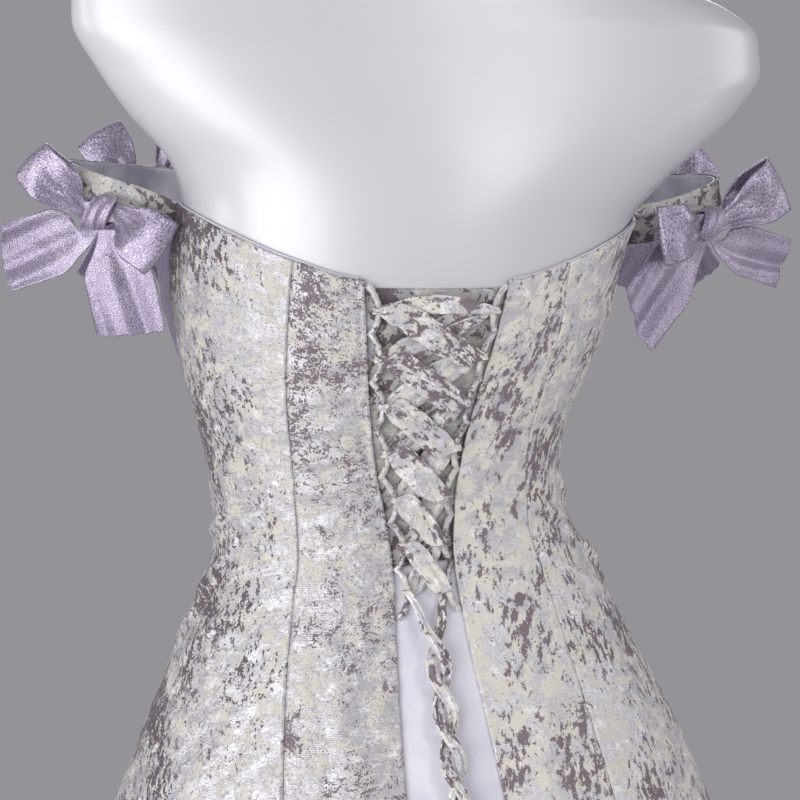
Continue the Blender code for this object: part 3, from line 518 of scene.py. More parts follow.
# Main creases. Each row is the angle, height (mm), length (mm), tilt (degrees up to the wearer's
# left), width and depth (tenths of a millimetre) of a soft ridge, or of a trough where the depth is negative.
CREASES = np.array([
    # left centre back, level pulls between the princess seam and the opening
    (31, 1218, 38, -4, 30, 10), (33, 1203, 46, 3, 24, -8),
    (29, 1192, 34, -6, 28, 12), (33, 1181, 52, 2, 22, -9),
    (30, 1172, 36, -3, 25, 13), (34, 1162, 46, 5, 21, -10),
    (29, 1152, 34, -2, 26, 16), (35, 1143, 50, 4, 20, -12),
    (30, 1134, 40, -5, 24, 16), (34, 1124, 46, 2, 21, -12),
    (28, 1115, 34, -7, 25, 14), (33, 1105, 52, 3, 22, -13),
    (29, 1096, 38, -4, 26, 16), (35, 1086, 48, 6, 22, -12),
    (29, 1076, 40, -3, 27, 13), (33, 1066, 44, 5, 24, -10),
    (28, 1055, 36, -6, 28, 12), (32, 1041, 42, 4, 27, -9),
    (27, 1026, 38, -5, 32, 10), (30, 1008, 46, 3, 34, -8),
    # left side back, drags that run from the side seam at the waist down to the middle of the panel
    (84, 1076, 60, -24, 40, 42), (78, 1060, 74, -31, 42, -22),
    (82, 1046, 66, -38, 44, 50), (72, 1036, 62, -30, 40, -19),
    (66, 1048, 56, -16, 36, 30), (60, 1030, 50, -12, 36, -14),
    (88, 1018, 70, -46, 50, 46), (74, 1006, 60, -36, 50, 29),
    (62, 1206, 46, 6, 40, -13), (70, 1190, 52, 12, 44, 14),
    (58, 1160, 40, 4, 38, 10), (66, 1128, 46, -6, 40, -10),
    (80, 1104, 50, -14, 42, 14),
    # right centre back, fewer pulls that fan from the opening
    (-27, 1060, 40, 14, 32, 14), (-29, 1047, 48, 20, 32, -13),
    (-30, 1033, 52, 16, 36, 16), (-33, 1018, 50, 11, 36, -10),
    (-31, 1002, 56, 8, 40, 12), (-31, 1126, 40, 12, 34, 8),
    (-33, 1098, 44, 16, 34, -8), (-30, 1076, 40, 10, 34, 9),
    # right side back
    (-56, 1058, 60, 22, 40, 34), (-62, 1044, 66, 28, 42, -19),
    (-70, 1034, 70, 34, 46, 42), (-58, 1026, 52, 20, 40, -14),
    (-82, 1060, 60, 26, 42, 30), (-84, 1010, 70, 44, 52, 35),
    (-66, 1004, 56, 30, 50, 22), (-60, 1180, 46, -8, 40, 10),
    (-68, 1140, 46, 8, 40, -10),
    # below the hip the back skirt hangs in long soft folds
    (22, 930, 90, 78, 90, 14), (48, 900, 140, 96, 120, -18),
    (60, 840, 220, 88, 140, 30), (84, 800, 300, 84, 160, -30),
    (-20, 900, 120, 100, 100, 14), (-46, 870, 180, 84, 130, -20),
    (-63, 800, 260, 92, 150, 30), (-88, 780, 320, 96, 160, -30),
    # the hidden front: drags across the bodice from the bust and waist, and folds of the front skirt
    (112, 1190, 50, 40, 50, 12), (120, 1150, 60, 26, 46, -10),
    (116, 1110, 56, 12, 44, 12), (126, 1090, 60, -6, 40, -10),
    (150, 1140, 50, 18, 46, 10), (158, 1100, 60, 8, 44, -9),
    (172, 1080, 56, -4, 42, 10), (-112, 1186, 50, -38, 50, 11),
    (-121, 1146, 60, -24, 46, -10), (-117, 1112, 56, -10, 44, 12),
    (-128, 1088, 60, 6, 40, -10), (-152, 1136, 50, -16, 46, 10),
    (-160, 1104, 60, -8, 44, -9), (120, 900, 240, 84, 140, 26),
    (146, 860, 280, 94, 150, -26), (168, 880, 260, 88, 150, 28),
    (-118, 880, 240, 96, 140, 26), (-144, 850, 280, 86, 150, -26),
    (-170, 900, 220, 92, 140, 24),
]) / (1, 1000, 1000, 1, 10000, 10000)
CREASE_BOW, RIPPLE, PUCKER_REACH = 2.4, 0.00016, 0.005


def creases(angle, height):
    """Sum of the listed creases: each a bell across its line, which bows a little, fading to its ends
    with a bell of the fourth power."""
    total = np.zeros(np.broadcast(angle, height).shape)
    width_here = gown_half_width(height)
    angle = (angle + 180.0) % 360.0 - 180.0
    for at, level, length, tilt, width, depth in CREASES:
        side = np.radians(angle - at) * width_here
        rise = height - level
        turn = math.radians(tilt)
        along = side * math.cos(turn) + rise * math.sin(turn)
        across = rise * math.cos(turn) - side * math.sin(turn) - CREASE_BOW * along**2
        total += depth * np.exp(-(across / width) ** 2 - (2 * along / length) ** 4)
    return total


def ripple(angle, height):
    """Slight unevenness of the pressed cloth: three slow waves of different direction, half a millimetre high
    at most."""
    side = np.radians(angle) * gown_half_width(height)
    return RIPPLE * (np.sin(310 * height + 90 * side) + np.sin(190 * side - 120 * height + 1.0)
                     + np.sin(70 * side + 230 * height + 2.2))


def folded(angle, height, edges):
    """How far the cloth stands off its middle layer: creases and ripple, and at each edge a roll or a groove
    with small puckers. edges has rows of angle function, height of the bell, its width, and pucker depth."""
    total = creases(angle, height) + ripple(angle, height)
    for where, lift, width, pucker in edges:
        distance = np.abs(np.radians(angle - where(height)) * gown_half_width(height))
        waves = np.sin(height / 0.0011 + 1.3 * np.sin(height / 0.0042)) * (0.5 + 0.5 * np.sin(height / 0.017))
        total += lift * np.exp(-(distance / width) ** 2)
        total += pucker * waves * np.exp(-(distance / PUCKER_REACH) ** 2)
    return np.maximum(total, LOWEST_FOLD)


def levels(top, bottom=HEM):
    """Heights of a piece's rows, close together above the hip and wider apart in the skirt."""
    low = max(bottom, COARSE_BELOW)
    rows = [np.linspace(top, low, round((top - low) / FINE_ROW) + 1)]
    if bottom < COARSE_BELOW:
        rows.append(np.linspace(low, bottom, round((low - bottom) / COARSE_ROW) + 1)[1:])
    return np.concatenate(rows)


def lay_out(start, end, columns, rows, top=None):
    """Angle and height of each point of a piece: columns shared out evenly from one seam to the other, rows
    level, but near a shaped top edge bent with it."""
    share = np.linspace(0.0, 1.0, columns + 1)[None, :]
    height = rows[:, None] + 0.0 * share
    near_top = smooth((rows - (BODICE_ROW - TOP_FADE)) / TOP_FADE)[:, None]
    for _ in range(4):
        angle = start(height) + share * (end(height) - start(height))
        if top is not None:
            height = rows[:, None] + near_top * (top(angle) - BODICE_ROW)
    return angle, height


def flat_lay(points):
    """Where each point lies on the flat cut, in metres: across from the middle column, down the middle
    column."""
    across = np.linalg.norm(np.diff(points, axis=1), axis=2)
    across = np.concatenate([np.zeros((len(points), 1)), across.cumsum(1)], 1)
    middle = points.shape[1] // 2
    down = np.linalg.norm(np.diff(points[:, middle], axis=0), axis=1)
    down = np.concatenate([[0.0], down.cumsum()])[:, None]
    return np.stack([across - across[:, middle:middle + 1], down + 0 * across], -1)


def cut_size(points):
    """Width, length and area of the flat cut of a smooth grid: its longest row, its longest column, and the
    sum of its cells."""
    across, down = np.diff(points, axis=1), np.diff(points, axis=0)
    width = np.linalg.norm(across, axis=2).sum(1).max()
    length = np.linalg.norm(down, axis=2).sum(0).max()
    area = np.linalg.norm(np.cross(across[:-1], down[:, :-1]), axis=2).sum()
    return (float(width), float(length)), float(area)


def wrapped(points):
    """The grid with its first column once more at its end, for a piece that closes on itself."""
    return np.concatenate([points, points[:, :1]], 1)


def thicken(piece, wall):
    """Gives a surface the thickness of its cloth, half of it to each side."""
    cloth = piece.modifiers.new("cloth", "SOLIDIFY")
    cloth.thickness, cloth.offset = wall, 0.0


def cloth_piece(name, node, points, wall, material, flip=False, closed=False,
                flat=None):
    """A piece of cloth through a grid of points: a thin shell of the wall's thickness. flat, its smooth
    grid, is not used."""
    flat = points if flat is None else flat
    if closed:
        mesh = grid_mesh(name, points, closed=True, flip=flip, uv=flat_lay(wrapped(points)))
    else:
        mesh = grid_mesh(name, points, flip=flip, uv=flat_lay(points))
    piece = put(name, mesh, material, [node])
    thicken(piece, wall)


def panel(name, node, edges, columns, rows, material, top=None, flip=False):
    """A panel of the dress from one seam to another, with its creases. edges has a row for each of the two
    seams, as folded asks."""
    angle, height = lay_out(edges[0][0], edges[1][0], columns, rows, top)
    points = gown_points(angle, height, GOWN_MIDDLE + folded(angle, height, edges))
    cloth_piece(name, node, points, GOWN_WALL, material, flip=flip,
                flat=gown_points(angle, height, GOWN_MIDDLE))


# The jacquard's yarns: a lustrous silver-lilac ground, matt cream floats, white floats whose colour also paints
# sheen highlights, and purple-grey flecks
SILVER_YARN = (0.580, 0.570, 0.598, 1.0)
CREAM_YARN = (0.700, 0.674, 0.590, 1.0)
WHITE_YARN_AND_SHEEN = (0.860, 0.855, 0.885, 1.0)
PURPLE_YARN = (0.205, 0.154, 0.180, 1.0)
DARK_YARN = (0.088, 0.064, 0.080, 1.0)
PALE_PURPLE = (0.300, 0.245, 0.305, 1.0)
THREAD_ACROSS, THREAD_DOWN, WEFT_PITCH = 0.00062, 0.00056, 0.00120
LEAN_MIDDLE, LEAN_MOST = 0.12, 0.125
# how fast and how far the painted highlight whitens a cut towards its hem
HIGHLIGHT_STEEPNESS, HIGHLIGHT_MOST = 12.0, 0.083
CREAM_SHARE, WHITE_AND_SHEEN_SHARE, LINE_SHARE, FLECK_SHARE = 0.90, 0.80, 0.80, 0.95
WEAVE_RELIEF = 0.00017


def brocade(name, seed, grain=0.0, fleck=(0.0036, 0.0050), sparse=0.59, lean=(0.0, 0.0), patches=0.70,
            cream=0.50, white_and_sheen=0.56, streaks=0.0, outline=0.4, dark=0.5, painted_brightness=1.0, soft=0.26, painted_highlight_down=0.0):
    """The jacquard, woven by thread counts. grain turns the pattern; fleck is the size of a fleck across and
    down; sparse, patches, cream and white_and_sheen are the levels a slow noise must pass for flecks, solid
    patches, cream and the palest floats to show, the colour of these palest floats standing partly for painted
    sheen highlights; lean is how much thicker the flecks get per metre across and down, up to LEAN_MOST and
    fading out down the skirt; streaks, outline and dark are how much there is of long level floats, of fine
    purple line and of the darkest yarn; painted_brightness scales the whole cloth's colour, painted light above
    1 and painted shade below 1; soft is how far single threads break up the flecks, and painted_highlight_down
    is how much more of the palest floats there is per metre down, up to HIGHLIGHT_MOST: a painted highlight
    where the lower skirt faces the light."""
    material, shader, dye = new_finish(name, {
        "Specular IOR Level": 0.45, "Sheen Weight": 0.10, "Sheen Roughness": 0.4})
    cut = cut_place(dye)
    turned_cut = dye.node("ShaderNodeMapping", {}, {
        "Vector": cut, "Location": (0.37 * seed, 0.23 * seed, 0.0),
        "Rotation": (0.0, 0.0, math.radians(grain))})
    (across, down), (flat_across, flat_down) = turned_cut.parts(2), cut.parts(2)
    warp, weft = across.stepped(THREAD_ACROSS), down.stepped(THREAD_DOWN)

    def figure(number, wide, tall, detail, roughness=0.5, distortion=0.0, side=warp, scale=1.0):
        """Noise in whole threads, its blobs about as wide and tall as told, each with a number of its own."""
        place = dye.vector(side / wide, weft / tall, seed + number)
        return dye.noise(place, scale, detail, roughness, distortion)

    grit = figure(2.0, 0.0013, 0.0015, 1.0)
    # where flecks gather, and the flecks themselves
    region = dye.noise(dye.vector(across, down * 0.6, seed + 5.0), 27.0, 2.0, 0.5).over(0.5, 4.5)
    shape = figure(1.0, *fleck, 3.0, 0.62, 0.3, scale=0.85)
    thick = (flat_across * lean[0] + (flat_down - LEAN_MIDDLE) * lean[1]) / (2 * LEAN_MOST) + 0.5
    thick = (thick.held() * (2 * LEAN_MOST) - LEAN_MOST) * (1.5 - 2.0 * flat_down).held()
    value = shape + soft * (grit - 0.5) + 0.19 * (region - 0.5) + thick
    patch = (figure(9.0, 0.019, 0.026, 4.0, 0.60, 0.4) + 0.4 * soft * (grit - 0.5)).over(patches, 45.0)
    flecks = (value.over(sparse, 38.0) + patch).held()
    # fine purple line round the edges of a finer figure
    finer = figure(7.0, 0.0052, 0.0060, 2.0, 0.55) + 0.16 * (grit - 0.5)
    lines = (1.0 - dye.math("ABSOLUTE", finer - 0.5) * 38.0).held() * (1.25 - region).held() * outline
    # ground: silver with cream floats, some of them long level streaks, and white floats whose colour also
    # paints sheen highlights
    creams = (figure(3.0, 0.0150, 0.0140, 5.0, 0.66, 0.3) + 0.26 * (grit - 0.5)).over(cream, 32.0)
    streak = figure(4.0, 0.018, 0.0013, 2.0, 0.6, side=across)
    creams = (creams + streak.over(0.60, 12.0) * streaks).held()
    # painted highlight: more of the palest floats further down the cut
    painted_highlight = (flat_down * painted_highlight_down * HIGHLIGHT_STEEPNESS).held() * HIGHLIGHT_MOST
    whites_and_sheen = (figure(8.0, 0.0120, 0.0120, 5.0, 0.70, 0.3) + 0.30 * (grit - 0.5) + painted_highlight).over(white_and_sheen, 24.0)
    # the unevenness of every float
    uneven = figure(6.0, 0.004, 0.0009, 2.0, 0.6, side=across)
    weft_line = dye.math("SINE", down * (2 * math.pi / WEFT_PITCH) + uneven * 9.0)
    colour = dye.dip(creams * CREAM_SHARE, SILVER_YARN, CREAM_YARN)
    # the white floats: their colour is partly the cloth's own and partly painted sheen highlight
    colour = dye.dip(whites_and_sheen * WHITE_AND_SHEEN_SHARE, colour, WHITE_YARN_AND_SHEEN)
    colour = dye.dip(lines * LINE_SHARE, colour, PALE_PURPLE)
    purple = dye.dip((grit.over(0.5, 6.0) * 0.5 + region * 0.5) * dark, PURPLE_YARN, DARK_YARN)
    colour = dye.dip(flecks * FLECK_SHARE, colour, purple)
    # the last factor brightens the whole cut with painted light above 1 and darkens it with painted shade below
    # 1
    colour = colour.shaded((0.90 + 0.20 * uneven + 0.010 * weft_line) * painted_brightness)
    crumple = dye.noise(dye.vector(across, down, seed + 7.0), 88.0, 3.0, 0.55)
    relief = 0.20 * weft_line + 1.5 * flecks + 1.0 * creams + 0.8 * uneven + 10.0 * crumple
    feed(shader, dye, {
        "Base Color": colour,
        "Roughness": 0.36 + 0.20 * flecks + 0.20 * creams,
        "Metallic": (1.0 - (creams + flecks).held()) * 0.30,
        "Normal": dye.bump(relief, WEAVE_RELIEF, 0.9),
    })
    return material


ROLLED_EDGES = {
    # part: lift, width and pucker depth of the cloth at its inner edge, then at its outer edge
    "centre": ((0.0006, 0.0018, 0.00010), (-0.0002, 0.0016, -0.00030)),
    "side": ((0.0002, 0.0016, -0.00030), (-0.0006, 0.0016, 0.00024)),
}
BACK_CUTS = {
    # name: side, part, columns, and its jacquard
    # painted highlight: the left panels whiten towards the hem, and the centre one's flecks thin out lower
    # down, for the light from the left
    "back_centre_left": (1, "centre", 30, brocade(
        "jacquard_back_centre_left", 1.0, grain=2.0, fleck=(0.0050, 0.0036), sparse=0.610, lean=(-0.4, -0.5),
        patches=0.640, cream=0.535, white_and_sheen=0.625, streaks=0.7, outline=0.90, dark=0.10, soft=0.80, painted_highlight_down=0.18)),
    "back_side_left": (1, "side", 66, brocade(
        "jacquard_back_side_left", 2.0, grain=-11.0, fleck=(0.0024, 0.0052), sparse=0.580, lean=(1.9, 0.0),
        patches=0.76, cream=0.515, white_and_sheen=0.630, outline=1.0, dark=1.0, soft=0.40, painted_highlight_down=0.32)),
    # the two right panels are a fifth brighter than the left ones: painted light where these lamps leave them
    # dim
    "back_centre_right": (-1, "centre", 30, brocade(
        "jacquard_back_centre_right", 3.0, grain=-13.0, fleck=(0.0032, 0.0060), sparse=0.600, lean=(0.5, 0.0),
        patches=0.625, cream=0.49, white_and_sheen=0.63, outline=0.25, dark=0.20, painted_brightness=1.20)),
    "back_side_right": (-1, "side", 66, brocade(
        "jacquard_back_side_right", 4.0, grain=-17.0, fleck=(0.0028, 0.0070), sparse=0.560, lean=(1.0, 0.0),
        patches=0.70, cream=0.50, white_and_sheen=0.61, outline=0.40, dark=0.40, painted_brightness=1.20)),
}
half = SEAM_GAP / 2
for node, (side, part, columns, material) in BACK_CUTS.items():
    if part == "centre":
        seams = seam(edge_angle, 0.0, side), seam(princess_angle, -half, side)
    else:
        seams = seam(princess_angle, half, side), seam(SIDE_SEAM, -half, side)
    edges = [(where, *roll) for where, roll in zip(seams, ROLLED_EDGES[part])]
    panel("cloth_" + node, node, edges, columns, levels(BODICE_ROW), material,
          neckline(BACK_NECKLINE), side < 0)

# The front bodice: lavender satin in three pieces, cut with a dipped sweetheart top edge and low armholes,
# and seamed to the brocade at the sides and to the skirt at the waist.
ARMHOLE = np.array([
    # angle, height of the top edge
    (100.0, 1.2400), (112.0, 1.2380), (126.0, 1.2430), (138.0, 1.2530),
])
FRONT_NECKLINE = np.array([
    # angle, height of the top edge
    (138.0, 1.2800), (152.0, 1.2850), (166.0, 1.2780), (180.0, 1.2620),
])
SATIN_RELIEF = 0.00022


def satin(name, colour, bright, seed, roughness=0.30, metallic=0.15, floats=0.10, speckle=0.0, crush=0.5):
    """Satin: a smooth close weave. Its colour clouds slowly from the first colour to the bright one, its short
    weft floats show as painted glints in the colour and as relief, and crush roughens it with soft small dents;
    speckle paints the sparkle of a shimmering ribbon into the colour as fine grains of painted glint and shade,
    and roughens and bumps it with the same grains."""
    material, shader, dye = new_finish(name, {
        "Specular IOR Level": 0.6, "Sheen Weight": 0.10, "Metallic": metallic})
    across, down = cut_place(dye).parts(2)
    cloud = dye.noise(dye.vector(across, down, seed), 24.0, 3.0, 0.55)
    float_lines = dye.noise(dye.vector(across / 0.0011, down / 0.0040, seed + 1.0), 0.9, 2.0, 0.6)
    grains = dye.noise(dye.vector(across, down, seed + 2.0), 1250.0, 1.0, 0.5).over(0.5, 5.0)
    dents = dye.noise(dye.vector(across, down, seed + 3.0), 120.0, 3.0, 0.6)
    colour = dye.dip(cloud.over(0.5, 3.0), colour, bright)
    colour = colour.shaded(1.0 + floats * (float_lines - 0.5) + speckle * (grains - 0.5))
    feed(shader, dye, {
        "Base Color": colour,
        "Roughness": roughness + 0.14 * (dents - 0.5) + 0.3 * speckle * (grains - 0.5),
        "Normal": dye.bump(
            floats * 5.0 * float_lines + dents * 6.0 * crush + grains * speckle, SATIN_RELIEF, 0.9),
    })
    return material


bodice_satin = satin("bodice_satin", (0.330, 0.275, 0.420, 1.0), (0.520, 0.470, 0.620, 1.0), 11.0,
                     roughness=0.24, metallic=0.72, crush=0.6)


def front_edges(side):
    """The two edges of a front piece, as folded asks: from the side seam to the front seam on side 1 or -1,
    and from one front seam to the other when side is 0."""
    side_roll, front_roll = (-0.0006, 0.0016, 0.0002), (-0.0005, 0.0016, 0.0002)
    half = FRONT_SEAM_GAP / 2
    if side:
        return [(seam(SIDE_SEAM, SEAM_GAP / 2, side), *side_roll),
                (seam(FRONT_SEAM, -half, side), *front_roll)]
    return [(seam(FRONT_SEAM, half), *front_roll),
            (lambda height: 2 * FRONT_CENTRE - beside(FRONT_SEAM, height, half), *front_roll)]


for word, side, columns, top in [("side_front_left", 1, 46, ARMHOLE), ("side_front_right", -1, 46, ARMHOLE),
                                 ("front", 0, 80, FRONT_NECKLINE)]:
    panel("satin_" + word, "bodice_" + word, front_edges(side), columns, levels(BODICE_ROW, WAIST + SEAM_GAP),
          bodice_satin, neckline(top), side < 0)

# The front skirt: three gores of the jacquard from the waist seam to the hem, pressed seams open, fluted by
# their own weight.
GORES = [
    # name, side, columns, then seed, grain and fleck of its jacquard
    ("side_front_left", 1, 46, 6.0, -6.0, (0.0032, 0.0062)),
    ("side_front_right", -1, 46, 4.0, 6.0, (0.0032, 0.0062)),
    ("front", 0, 84, 8.0, 0.0, (0.0036, 0.0062)),
]
for word, side, columns, seed, grain, fleck in GORES:
    panel("cloth_" + word, "skirt_" + word, front_edges(side), columns, levels(WAIST),
          brocade("jacquard_" + word, seed, grain, fleck), flip=side < 0)

# The modesty panel behind the lacing: a shield of the same jacquard that lies on the form, sewn under the
# left edge. Its top edge is folded over.
UNDER_MIDDLE, UNDER_WALL = 0.0010, 0.0010
MODESTY_HALF_ANGLE, MODESTY_TOP = 31.5, 1.2225


def under_panel(name, node, edge, columns, rows, material):
    """A smooth panel under the opening, from an edge on the right to the same edge on the left."""
    angle, height = lay_out(lambda height: -edge(height), edge, columns, rows)
    cloth_piece(name, node, gown_points(angle, height, UNDER_MIDDLE + 0 * angle), UNDER_WALL, material)


# its jacquard is darkened by about a fifth: painted shade for the gaps of the lacing
modesty_cloth = brocade(
    "jacquard_modesty", 9.0, grain=4.0, fleck=(0.0055, 0.0060), sparse=0.575, cream=0.47, painted_brightness=0.78)
under_panel("cloth_modesty", "modesty_panel", lambda height: MODESTY_HALF_ANGLE + 0 * height, 60,
            levels(MODESTY_TOP, BACK_SKIRT_TOP + SEAM_GAP), modesty_cloth)

# The satin back skirt that shows in the opening below the lacing: a panel of thin pale satin with a soft nap,
# sewn in under the two brocade edges and hanging straight.
underskirt_satin = satin("underskirt_satin", (0.770, 0.755, 0.870, 1.0), (0.900, 0.890, 0.950, 1.0), 21.0,
                         roughness=0.42, metallic=0.0, floats=0.03, speckle=0.06, crush=0.8)
under_panel("satin_back_skirt", "underskirt_back", seam(princess_angle, -SEAM_GAP / 2), 72,
            levels(BACK_SKIRT_TOP), underskirt_satin)

# The off-shoulder straps: a band of the jacquard round each arm, turned in at both long edges, gathered a
# little where it is sewn into the side seam and under the front corner, with a thin satin lining inside it.
STRAP = np.array([
    # from the centre, y, height, width
    (0.1720, -0.0230, 1.2590, 0.0270), (0.1960, -0.0280, 1.2660, 0.0255), (0.2150, -0.0400, 1.2720, 0.0240),
    (0.2220, -0.0580, 1.2750, 0.0235), (0.2140, -0.0780, 1.2750, 0.0235), (0.1930, -0.0950, 1.2730, 0.0240),
    (0.1640, -0.1030, 1.2710, 0.0245), (0.1360, -0.1000, 1.2690, 0.0250),
])
STRAP_REACH = {1: 1.0, -1: 1.045}
SIDES = ((1, "left"), (-1, "right"))
STRAP_WALL, LINING_WALL, LINING_INSET, LINING_GAP = 0.0014, 0.0010, 0.0006, 0.0009
STRAP_LEAN, STRAP_HEIGHT = 0.16, 1.27
STRAP_STEPS = 27
STRAP_END_SHARE = 3 / STRAP_STEPS
STRAP_ROWS, LINING_TRIM = 131, 9
STRAP_SEATS = [
    # seam, distance from it, middle height, half width, distance out
    (SIDE_SEAM, 0.0019, 1.2530, 0.0120, GOWN_MIDDLE),
    (FRONT_SEAM, 0.0030, 1.2660, 0.0120, 0.0037 + STRAP_WALL / 2 + SEAM_GAP),
]
STRAP_FOLDS = [
    # share along, its spread, place across (-1 low edge, 1 top edge), width across, depth
    (0.06, 0.16, 0.42, 0.20, 0.0011),
    (0.10, 0.20, 0.05, 0.16, -0.0005),
    (0.02, 0.10, -0.45, 0.18, 0.0009),
    (0.22, 0.18, 0.70, 0.22, 0.0006),
    (0.46, 0.22, -0.20, 0.24, 0.0007),
    (0.66, 0.16, 0.40, 0.20, 0.0006),
    (0.94, 0.12, 0.30, 0.20, 0.0010),
    (0.97, 0.10, -0.40, 0.18, 0.0008),
]


def refine(points, steps):
    """Points on a smooth curve through the given ones: a Catmull-Rom cubic in each span, steps to a span."""
    p = np.vstack([2 * points[:1] - points[1:2], points, 2 * points[-1:] - points[-2:-1]])
    a, b, c, d = p[:-3, None], p[1:-2, None], p[2:-1, None], p[3:, None]
    t = (np.arange(steps) / steps)[None, :, None]
    fine = 0.5 * (2 * b + (c - a) * t + (2 * a - 5 * b + 4 * c - d) * t**2 + (3 * b - a - 3 * c + d) * t**3)
    return np.vstack([fine.reshape(-1, points.shape[1]), points[-1:]])


def spaced(points, count):
    """The smooth curve through the points, read off at equal lengths."""
    fine = refine(points, 12)
    length = np.concatenate([[0.0], np.linalg.norm(np.diff(fine, axis=0), axis=1).cumsum()])
    goal = np.linspace(0.0, length[-1], count)
    return np.stack([np.interp(goal, length, column) for column in fine.T], -1)


def unit(vectors):
    return vectors / np.linalg.norm(vectors, axis=-1, keepdims=True)


def strap_line(side, count):
    """Middle points of a strap, the level direction away from the arm and the direction up its face."""
    seats = [gown_points(np.array(side * beside(seam, middle, away)), np.array(middle), out)
             for seam, away, middle, _, out in STRAP_SEATS]
    centre, lean = (follow(FORM[:, 0], FORM[:, column], STRAP_HEIGHT) for column in (4, 5))
    across = side * STRAP[:, 0] * STRAP_REACH[side]
    points = np.stack([centre + across, STRAP[:, 1], STRAP[:, 2] + lean * across], -1)
    middle = spaced(np.vstack([seats[:1], points, seats[1:]]), count)
    ahead = np.gradient(middle, axis=0)
    away = unit(np.stack([ahead[:, 1], -ahead[:, 0], 0 * ahead[:, 0]], -1)) * -side
    free = np.sin(math.pi * np.linspace(0, 1, count))[:, None]
    return middle, away, unit(np.array([0.0, 0.0, 1.0]) - away * STRAP_LEAN * free)


def strap_points(side, count, columns, layer, inset, folds):
    """A strap's face: across the middle line by the width read from the table, its ends drawn onto the seams
    they are sewn to, moved out by the layer and by the folds, each a bell along times a bell across."""
    middle, away, up = strap_line(side, count)
    width = spaced(STRAP[:, 3:], count)[:, 0] / 2 - inset
    share = np.linspace(0, 1, count)[:, None]
    place = np.linspace(-1, 1, columns)[None, :]
    points = middle[:, None] + up[:, None] * (width[:, None] * place)[..., None]
    near_end = smooth(1 - np.minimum(share, 1 - share) / STRAP_END_SHARE)[..., None]
    for (seam, gap, level, half_width, out), here in zip(STRAP_SEATS, (share < 0.5, share >= 0.5)):
        heights = level + half_width * place
        sewn = gown_points(side * beside(seam, heights, gap), heights, out)
        points = np.where(here[..., None], points + (sewn - points) * near_end, points)
    rise = sum((depth * np.exp(-((share - at) / spread) ** 2 - ((place - line) / wide) ** 2)
                for at, spread, line, wide, depth in folds), 0 * share * place)
    return points + away[:, None] * (layer + rise)[..., None]


# the lining's colour clouds from mid grey to near white: painted highlights and shade of soft folds
lining_satin = satin("lining_satin", (0.400, 0.400, 0.465, 1.0), (0.860, 0.860, 0.910, 1.0), 31.0,
                     roughness=0.22, metallic=0.30, floats=0.04, crush=0.5)
for side, word in SIDES:
    strap_cloth = brocade("jacquard_strap_" + word, 12.0 + side, grain=86.0, fleck=(0.0060, 0.0052),
                          sparse=0.545, patches=0.62, cream=0.48)
    flat = strap_points(side, STRAP_ROWS, 25, 0.0, 0.0, [])
    points = strap_points(side, STRAP_ROWS, 25, 0.0, 0.0, STRAP_FOLDS)
    cloth_piece("cloth_strap_" + word, "strap_" + word, points, STRAP_WALL, strap_cloth,
                flip=side > 0, flat=flat)
    under = -(STRAP_WALL + LINING_WALL) / 2 - LINING_GAP
    inside = strap_points(side, STRAP_ROWS, 13, under, LINING_INSET, [])
    cloth_piece("satin_strap_lining_" + word, "strap_lining_" + word, inside[LINING_TRIM:-LINING_TRIM],
                LINING_WALL, lining_satin, flip=side > 0)

# The neckline's facing: a strip of thin pale satin inside the back's top edge, whose fold stands a millimetre
# above the brocade. It is caught down along the inside of the panels.
FACING_OUT, FACING_WALL = 0.00185, 0.0005
FACING_RISE, FACING_DEPTH = 0.0013, 0.0070
FACING_START, FACING_END = 1.5, 98.0
FACING_CUT = 0.010
facing_satin = satin("facing_satin", (0.640, 0.625, 0.710, 1.0), (0.780, 0.770, 0.830, 1.0), 32.0,
                     floats=0.04)

for side, word in SIDES:
    from_edge = float(edge_angle(np.array(BODICE_ROW))) + FACING_START
    angle = side * np.linspace(from_edge, FACING_END, 121)[None, :]
    height = neckline(BACK_NECKLINE)(angle) + np.linspace(FACING_RISE, -FACING_DEPTH, 9)[:, None]
    points = gown_points(angle + 0 * height, height, FACING_OUT + 0 * height)
    mesh = grid_mesh("satin_facing_" + word, points, flip=side < 0, uv=flat_lay(points))
    facing = put("satin_facing_" + word, mesh, facing_satin, [])
    thicken(facing, FACING_WALL)
    size, area = cut_size(points)
    wide = max(size[1], FACING_CUT)
    min(area, 0.99 * wide * size[0])

# The loops for the lace: a tube of jacquard about 4 mm thick, turned right side out, and sewn down along each
# edge of the back opening between one loop and the next.
LACE_LEVELS, LACE_TOP, LACE_PITCH = 7, 1.209, 0.0302
LOOP_RADIUS, LOOP_REACH, LOOP_FOOT_OUT, LOOP_TIP_OUT = 0.0012, 0.0080, 0.0034, 0.0069
LOOP_FOOT_GAP = 0.0007
LOOP_POWER, TUBE_FULL, TUBE_UNEVEN = 0.72, 1.68, 0.14


def back_points(across, height, out):
    """Points near the centre back, by distance across, height and distance from the form."""
    return gown_points(np.degrees(np.arcsin(across / gown_half_width(height))), height, out)


def carried(path, wide, deep, profile):
    """A profile carried along a path: rows along the path, columns round the profile, whose two numbers count
    along the wide and the deep direction of each row."""
    return path[:, None] + wide[:, None] * profile[..., :1] + deep[:, None] * profile[..., 1:]


